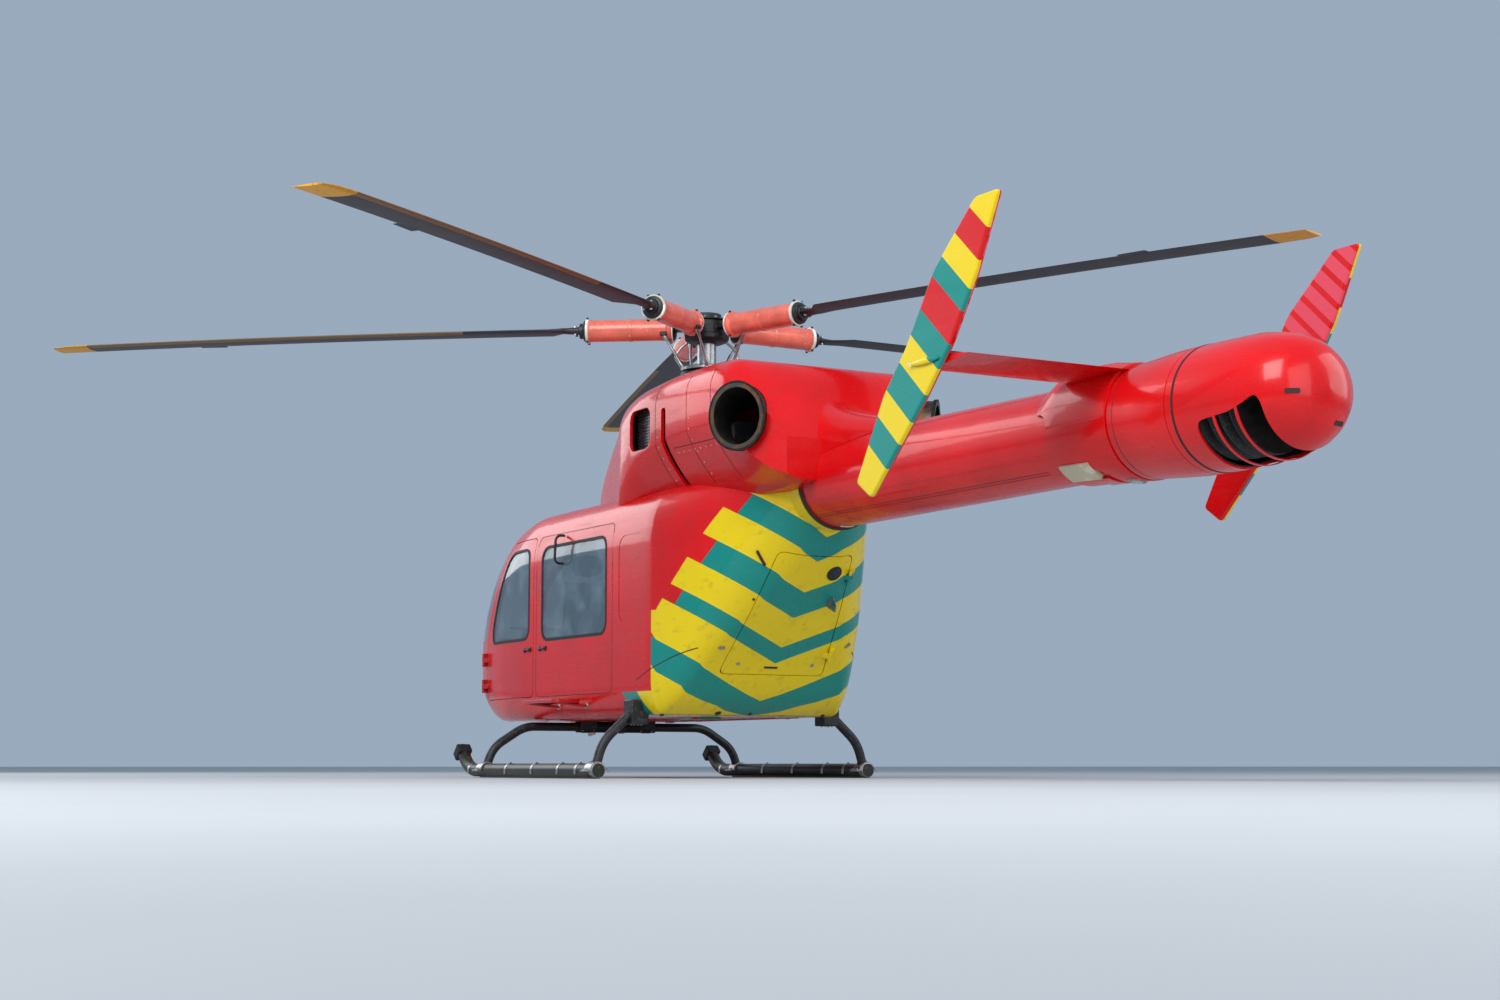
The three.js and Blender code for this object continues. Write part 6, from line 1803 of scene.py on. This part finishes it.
short_aerial = prism([(-0.05, 0), (0.05, 0), (0.035, 0.09), (-0.015, 0.105)], "x", -0.004, 0.004, 0.01)
long_aerial = prism([(-0.12, 0), (0.09, 0), (0.05, 0.11), (-0.06, 0.125)], "x", -0.006, 0.006, 0.012)
for name, mesh, place, body, finish in (
    ("belly_blade_aerial", long_aerial, (0.045, -1.835, -0.004), ROOT, WHITE),
    ("rear_door_blade_aerial", short_aerial, (-0.24, 1.37, 0.002), "rear_door", STEEL),
):
    piece(name, set_on(mesh, *on_belly(*place)), body, finish, edge=0.002)

# %% [markdown]
# The landing light hangs on a short stalk behind the nose: a bowl, a lens and a bezel round them.

# %% Landing light
light_spot = on_belly(-0.452, -2.229)
bezel = [
    (-0.006, 0.05), (0.01, 0.074), (0.042, 0.079), (0.052, 0.077), (0.052, 0.070), (0.03, 0.066),
    (-0.006, 0.04), (-0.006, 0.05),
]
bowl = [(0.004, 0.0005), (0.004, 0.035), (0.028, 0.066), (0.0285, 0.0662), (0.006, 0.0355), (0.006, 0.0005)]
lens = [(0.043, 0.0705), (0.047, 0.0705), (0.058, 0.052), (0.063, 0.028), (0.064, 0.0005)]
for part, profile, finish in (("bezel", bezel, STEEL), ("bowl", bowl, BOWL), ("lens", lens, LIT_LENS)):
    piece(f"landing_light_{part}", set_on(turned(profile, (0, 0, 0), UP), *light_spot), ROOT, finish)
arm = block((-0.018, -0.13, -0.006), (0.018, -0.065, 0.012))
lug = block((-0.01, -0.09, 0.0), (0.01, -0.07, 0.045))
piece("landing_light_bracket", set_on(merged(arm, lug), *light_spot), ROOT, BEIGE, edge=0.004)

# %% [markdown]
# Beads stiffen the belly and sealed seams part its panels. Both are strips that follow a line on the
# skin: the line's points are put on it, and the strip gets a sunk edge and a proud middle.

# %% Beads and seams
def belly_strip(line, width, proud):
    """A strip along straight runs of (x, y) under the body: two edges sunk 4 mm and two proud ones."""
    line = np.asarray(line, float)
    length = np.concatenate([[0], np.cumsum(np.linalg.norm(np.diff(line, axis=0), axis=1))])
    s = np.unique(np.concatenate([np.linspace(0, length[-1], 40), length]))
    flat = np.stack([np.interp(s, length, line[:, 0]), np.interp(s, length, line[:, 1])], 1)
    run = unit(np.gradient(flat, axis=0))
    across = np.stack([-run[:, 1], run[:, 0]], 1) * width / 2
    rings = []
    for side, height in ((-1.0, -0.004), (-0.6, proud), (0.6, proud), (1.0, -0.004)):
        x, y = (flat + across * side).T
        rings.append(np.stack([x, y, belly_z(BODY, x, y) - height], 1))
    return capped(np.stack(rings, 1))


def loop(x0, y0, x1, y1, corner=0.04):
    """A closed rounded rectangle of (x, y) as one line."""
    outline = rounded([(x0, y0), (x1, y0), (x1, y1), (x0, y1)], corner)
    return np.concatenate([outline, outline[:1]])


STRIPS = (
    # name, line, width, how proud, finish
    ("belly_bead_port", [(0.562, 0.05), (0.535, -1.40)], 0.016, 0.006, RED),
    ("belly_bead_starboard", [(-0.562, 0.05), (-0.535, -1.40)], 0.016, 0.006, RED),
    ("belly_bead_front", [(0.53, -1.425), (-0.53, -1.425)], 0.014, 0.005, RED),
    ("belly_rail_port", [(0.690, 0.20), (0.668, -1.38)], 0.010, 0.004, RED),
    ("belly_rail_starboard", [(-0.690, 0.20), (-0.668, -1.38)], 0.010, 0.004, RED),
    ("belly_frame_seam", [(0.66, -1.60), (-0.66, -1.60)], 0.005, 0.0006, SEAM),
    ("belly_nose_seam", [(0.60, -2.36), (-0.60, -2.36)], 0.005, 0.0006, SEAM),
    ("belly_hatch_seam", loop(-0.15, -0.93, 0.13, -0.79), 0.006, 0.0008, SEAM),
    ("belly_hatch_rim", loop(-0.185, -0.965, 0.165, -0.73, 0.06), 0.010, 0.003, RED),
    ("nose_hatch_seam", loop(-0.36, -2.60, -0.08, -2.42), 0.006, 0.0008, SEAM),
    ("nose_hatch_seam_port", loop(0.06, -2.66, 0.36, -2.44), 0.006, 0.0008, SEAM),
    ("tail_frame_seam", [(0.58, 0.60), (-0.58, 0.60)], 0.005, 0.0006, SEAM),
)
for name, line, width, proud, finish in STRIPS:
    piece(name, belly_strip(line, width, proud), ROOT, finish)

# %% [markdown]
# On the sides are the joints between mouldings, drawn as thin sealed lines with rows of screws, the
# handles of the doors, and a bent grab rail. The intakes are closed by a wire screen. Two bent probes
# stand out under the nose.

# %% Side seams, screws and handles
def smooth_line(points):
    """Points (y, z) along a parabola through the first, middle and last points."""
    points = np.asarray(points, float)
    t = np.linspace(0, 1, 36)[:, None]
    return points[0] * (1 - t) * (1 - 2 * t) + points[1] * 4 * t * (1 - t) + points[2] * t * (2 * t - 1)


def screw_row(start, end, side, count):
    """Flush screw heads on the cowl's wall, evenly spaced from one place (y, z) to another."""
    screw = [(-0.003, SCREW), (0.0012, SCREW * 0.9), (0.0012, SCREW * 0.08)]
    spots_on = on_wall(COWL, np.linspace(start, end, count), side, 0.0)
    return merged(*[turned(screw, p, (side, 0, 0), 10) for p in spots_on])


SCREW = 0.0055  # radius
JOINT_CURVE = [(1.03, 0.91), (0.72, 0.80), (0.43, 0.70)]
COWL_JOINTS = (0.70, 1.18, 1.54)
COWL_LINES = [[(y, 2.06), (y, 2.4), (y, 2.80)] for y in COWL_JOINTS]
COWL_LINES.append([(0.92, 2.32), (1.2, 2.32), (1.54, 2.32)])
HANDLE_Z = 0.995
WIRE = 0.002  # half the thickness of the screen's wires
GRIP = [(-0.002, 0.02), (0.006, 0.02), (0.010, 0.015), (0.010, 0.0006)]
RAIL = [(0.800, -0.80, 1.845), (0.875, -0.80, 1.845), (0.885, -0.80, 1.63), (0.812, -0.80, 1.63)]
for name, s in SIDES:
    strip = wall_strip(BODY, smooth_line(JOINT_CURVE), s, 0.008, 0.001, close=False)
    piece(f"tail_joint_seam_{name}", strip, ROOT, SEAM)
    lines = [wall_strip(COWL, smooth_line(line), s, 0.006, 0.0009, close=False) for line in COWL_LINES]
    piece(f"cowl_joint_seams_{name}", merged(*lines), ROOT, SEAM)
    screws = [screw_row((y + 0.035, 2.12), (y + 0.035, 2.72), s, 9) for y in COWL_JOINTS[:2]]
    screws.append(screw_row((0.96, 2.285), (1.5, 2.285), s, 8))
    piece(f"cowl_screws_{name}", merged(*screws), ROOT, STEEL)
    for door, body, ends in (("crew", f"crew_door_{name}", (-1.48, -1.38)), ("cabin", ROOT, (-1.20, -1.10))):
        places = [(y, HANDLE_Z) for y in ends]
        grips = [turned(GRIP, p, (s, 0, 0), 24) for p in on_wall(BODY, places, s, 0.0)]
        bar = swept(np.linspace(*on_wall(BODY, places, s, 0.014), 6), 0.007, 12, UP)
        piece(f"{door}_door_handle_{name}", merged(*grips, bar), body, BLACK)
    rail = bent(np.array(RAIL) * (s, 1, 1), 0.05)
    piece(f"grab_rail_{name}", swept(rail, 0.010, 14, AFT), ROOT, BLACK)
    uprights = [((0.712, y - WIRE, 2.33), (0.717, y + WIRE, 2.69)) for y in np.arange(0.27, 0.64, 0.022)]
    levels = [((0.713, 0.24, z - WIRE), (0.718, 0.65, z + WIRE)) for z in np.arange(2.35, 2.68, 0.022)]
    for part, boxes, finish, edge in (
        ("intake_screen", uprights + levels, STEEL, 0),
        # painted shade: the intake's black back and the slot's black lining are dark plates where the
        # openings fall into shade
        ("intake_back", [((0.690, 0.23, 2.32), (0.694, 0.66, 2.70))], SOOT_AND_SHADE, 0.001),
        ("cowl_slot_lining", [((0.500, 0.77, 2.03), (0.515, 0.88, 2.64))], SOOT_AND_SHADE, 0.001),
    ):
        blocks = [block(*np.array(box) * (s, 1, 1)) for box in boxes]
        piece(f"{part}_{name}", merged(*blocks), ROOT, finish, edge=edge)
for x, y in ((0.345, -2.90), (-0.08, -2.92)):
    side_name = "port" if x > 0 else "starboard"
    place, out = on_belly(x, y)
    mast = bent([place, place + out * 0.05, place + out * 0.06 + (0, -0.13, 0)], 0.02)
    piece(f"nose_probe_{side_name}", swept(mast, 0.0085, 14, PORT), ROOT, STEEL)
    piece(f"nose_probe_foot_{side_name}", set_on(pad(0.05, 0.08, 0.006, 0.018), place, out), ROOT, STEEL)

# %% [markdown]
# The engines and the gearbox under the cowl, and the core of the thruster behind its slots, keep their
# solids from the imported model and only need a finish.

# %% Finishes for the solids that stay
# The thruster core takes the black as painted shade deep inside the can.
kept = {"engine_port": CAST, "engine_starboard": CAST, "gearbox": CAST, "thruster_core": SOOT_AND_SHADE}
for node, finish in kept.items():
    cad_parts[node].data.materials.clear()
    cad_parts[node].data.materials.append(finish)

# %% [markdown]
# The helicopter stands on a pale studio floor. The camera is just above the floor behind its port side
# and looks up, which is as near as it can stand to a view from below. Four large soft lamps and a pale
# sky light it: the floor throws enough light back to show the belly.

# %% Camera, floor and light
AZIMUTH = math.radians(150)
AIM = Vector((-0.12, 0.45, 2.05 + GROUND))
AWAY = 17.2
camera = bpy.data.objects.new("camera", bpy.data.cameras.new("camera"))
bpy.context.scene.collection.objects.link(camera)
camera.location = AIM + Vector((math.sin(AZIMUTH), -math.cos(AZIMUTH), 0)) * AWAY
camera.location.z = GROUND + 0.09
camera.rotation_euler = (AIM - camera.location).to_track_quat("-Z", "Y").to_euler()
camera.data.lens = 56  # millimetres
camera.data.clip_end = 600
bpy.context.scene.camera = camera

floor = bpy.data.objects.new("floor", bpy.data.meshes.new("floor"))
FLOOR = 220
corners = [(-FLOOR, -FLOOR, GROUND), (FLOOR, -FLOOR, GROUND), (FLOOR, FLOOR, GROUND), (-FLOOR, FLOOR, GROUND)]
floor.data.from_pydata(corners, [], [(0, 1, 2, 3)])
bpy.context.scene.collection.objects.link(floor)
PALE, tree, shader = start_finish("pale_floor", Roughness=0.75)
cloud = spots(tree, surface_place(tree), 2.5, 2.0, 0.3, 0.7)
shade = add(tree, "Mix", {0: cloud, 6: "B7B9BB", 7: "BDBFC1"}, **RGBA)
wire(tree, shader, Base_Color=shade)
floor.data.materials.append(PALE)
floor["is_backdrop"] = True

sky = bpy.data.worlds.new("pale_sky")
bpy.context.scene.world = sky
sky.use_nodes = True
background = sky.node_tree.nodes["Background"]
background.inputs["Color"].default_value = colour("BFD3EA")
background.inputs["Strength"].default_value = 0.62
bpy.context.scene.view_settings.view_transform = "Standard"
LAMPS = (
    # name, place, width, power in watts
    ("key", (11, 9, 11), 9, 2000),
    ("fill", (-12, 11, 7), 10, 700),
    ("front", (6, -14, 8), 10, 800),
    ("behind", (2, 16, 5), 9, 500),
)
for name, place, width, power in LAMPS:
    light = bpy.data.lights.new(name, "AREA")
    light.size, light.energy = width, power
    lamp = bpy.data.objects.new(name, light)
    lamp.location = place
    lamp.rotation_euler = (Vector((0, 0.8, 1.2)) - Vector(place)).to_track_quat("-Z", "Y").to_euler()
    bpy.context.scene.collection.objects.link(lamp)

# %% [markdown]
# The imported model's box and the dressed model's box are printed side by side. The dressed model
# must stay inside the imported model's box.

# %% Sizes and the end
boxes = {"cad": [list(v) for v in CAD_BOX], "visual": [list(v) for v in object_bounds()]}
print(boxes)
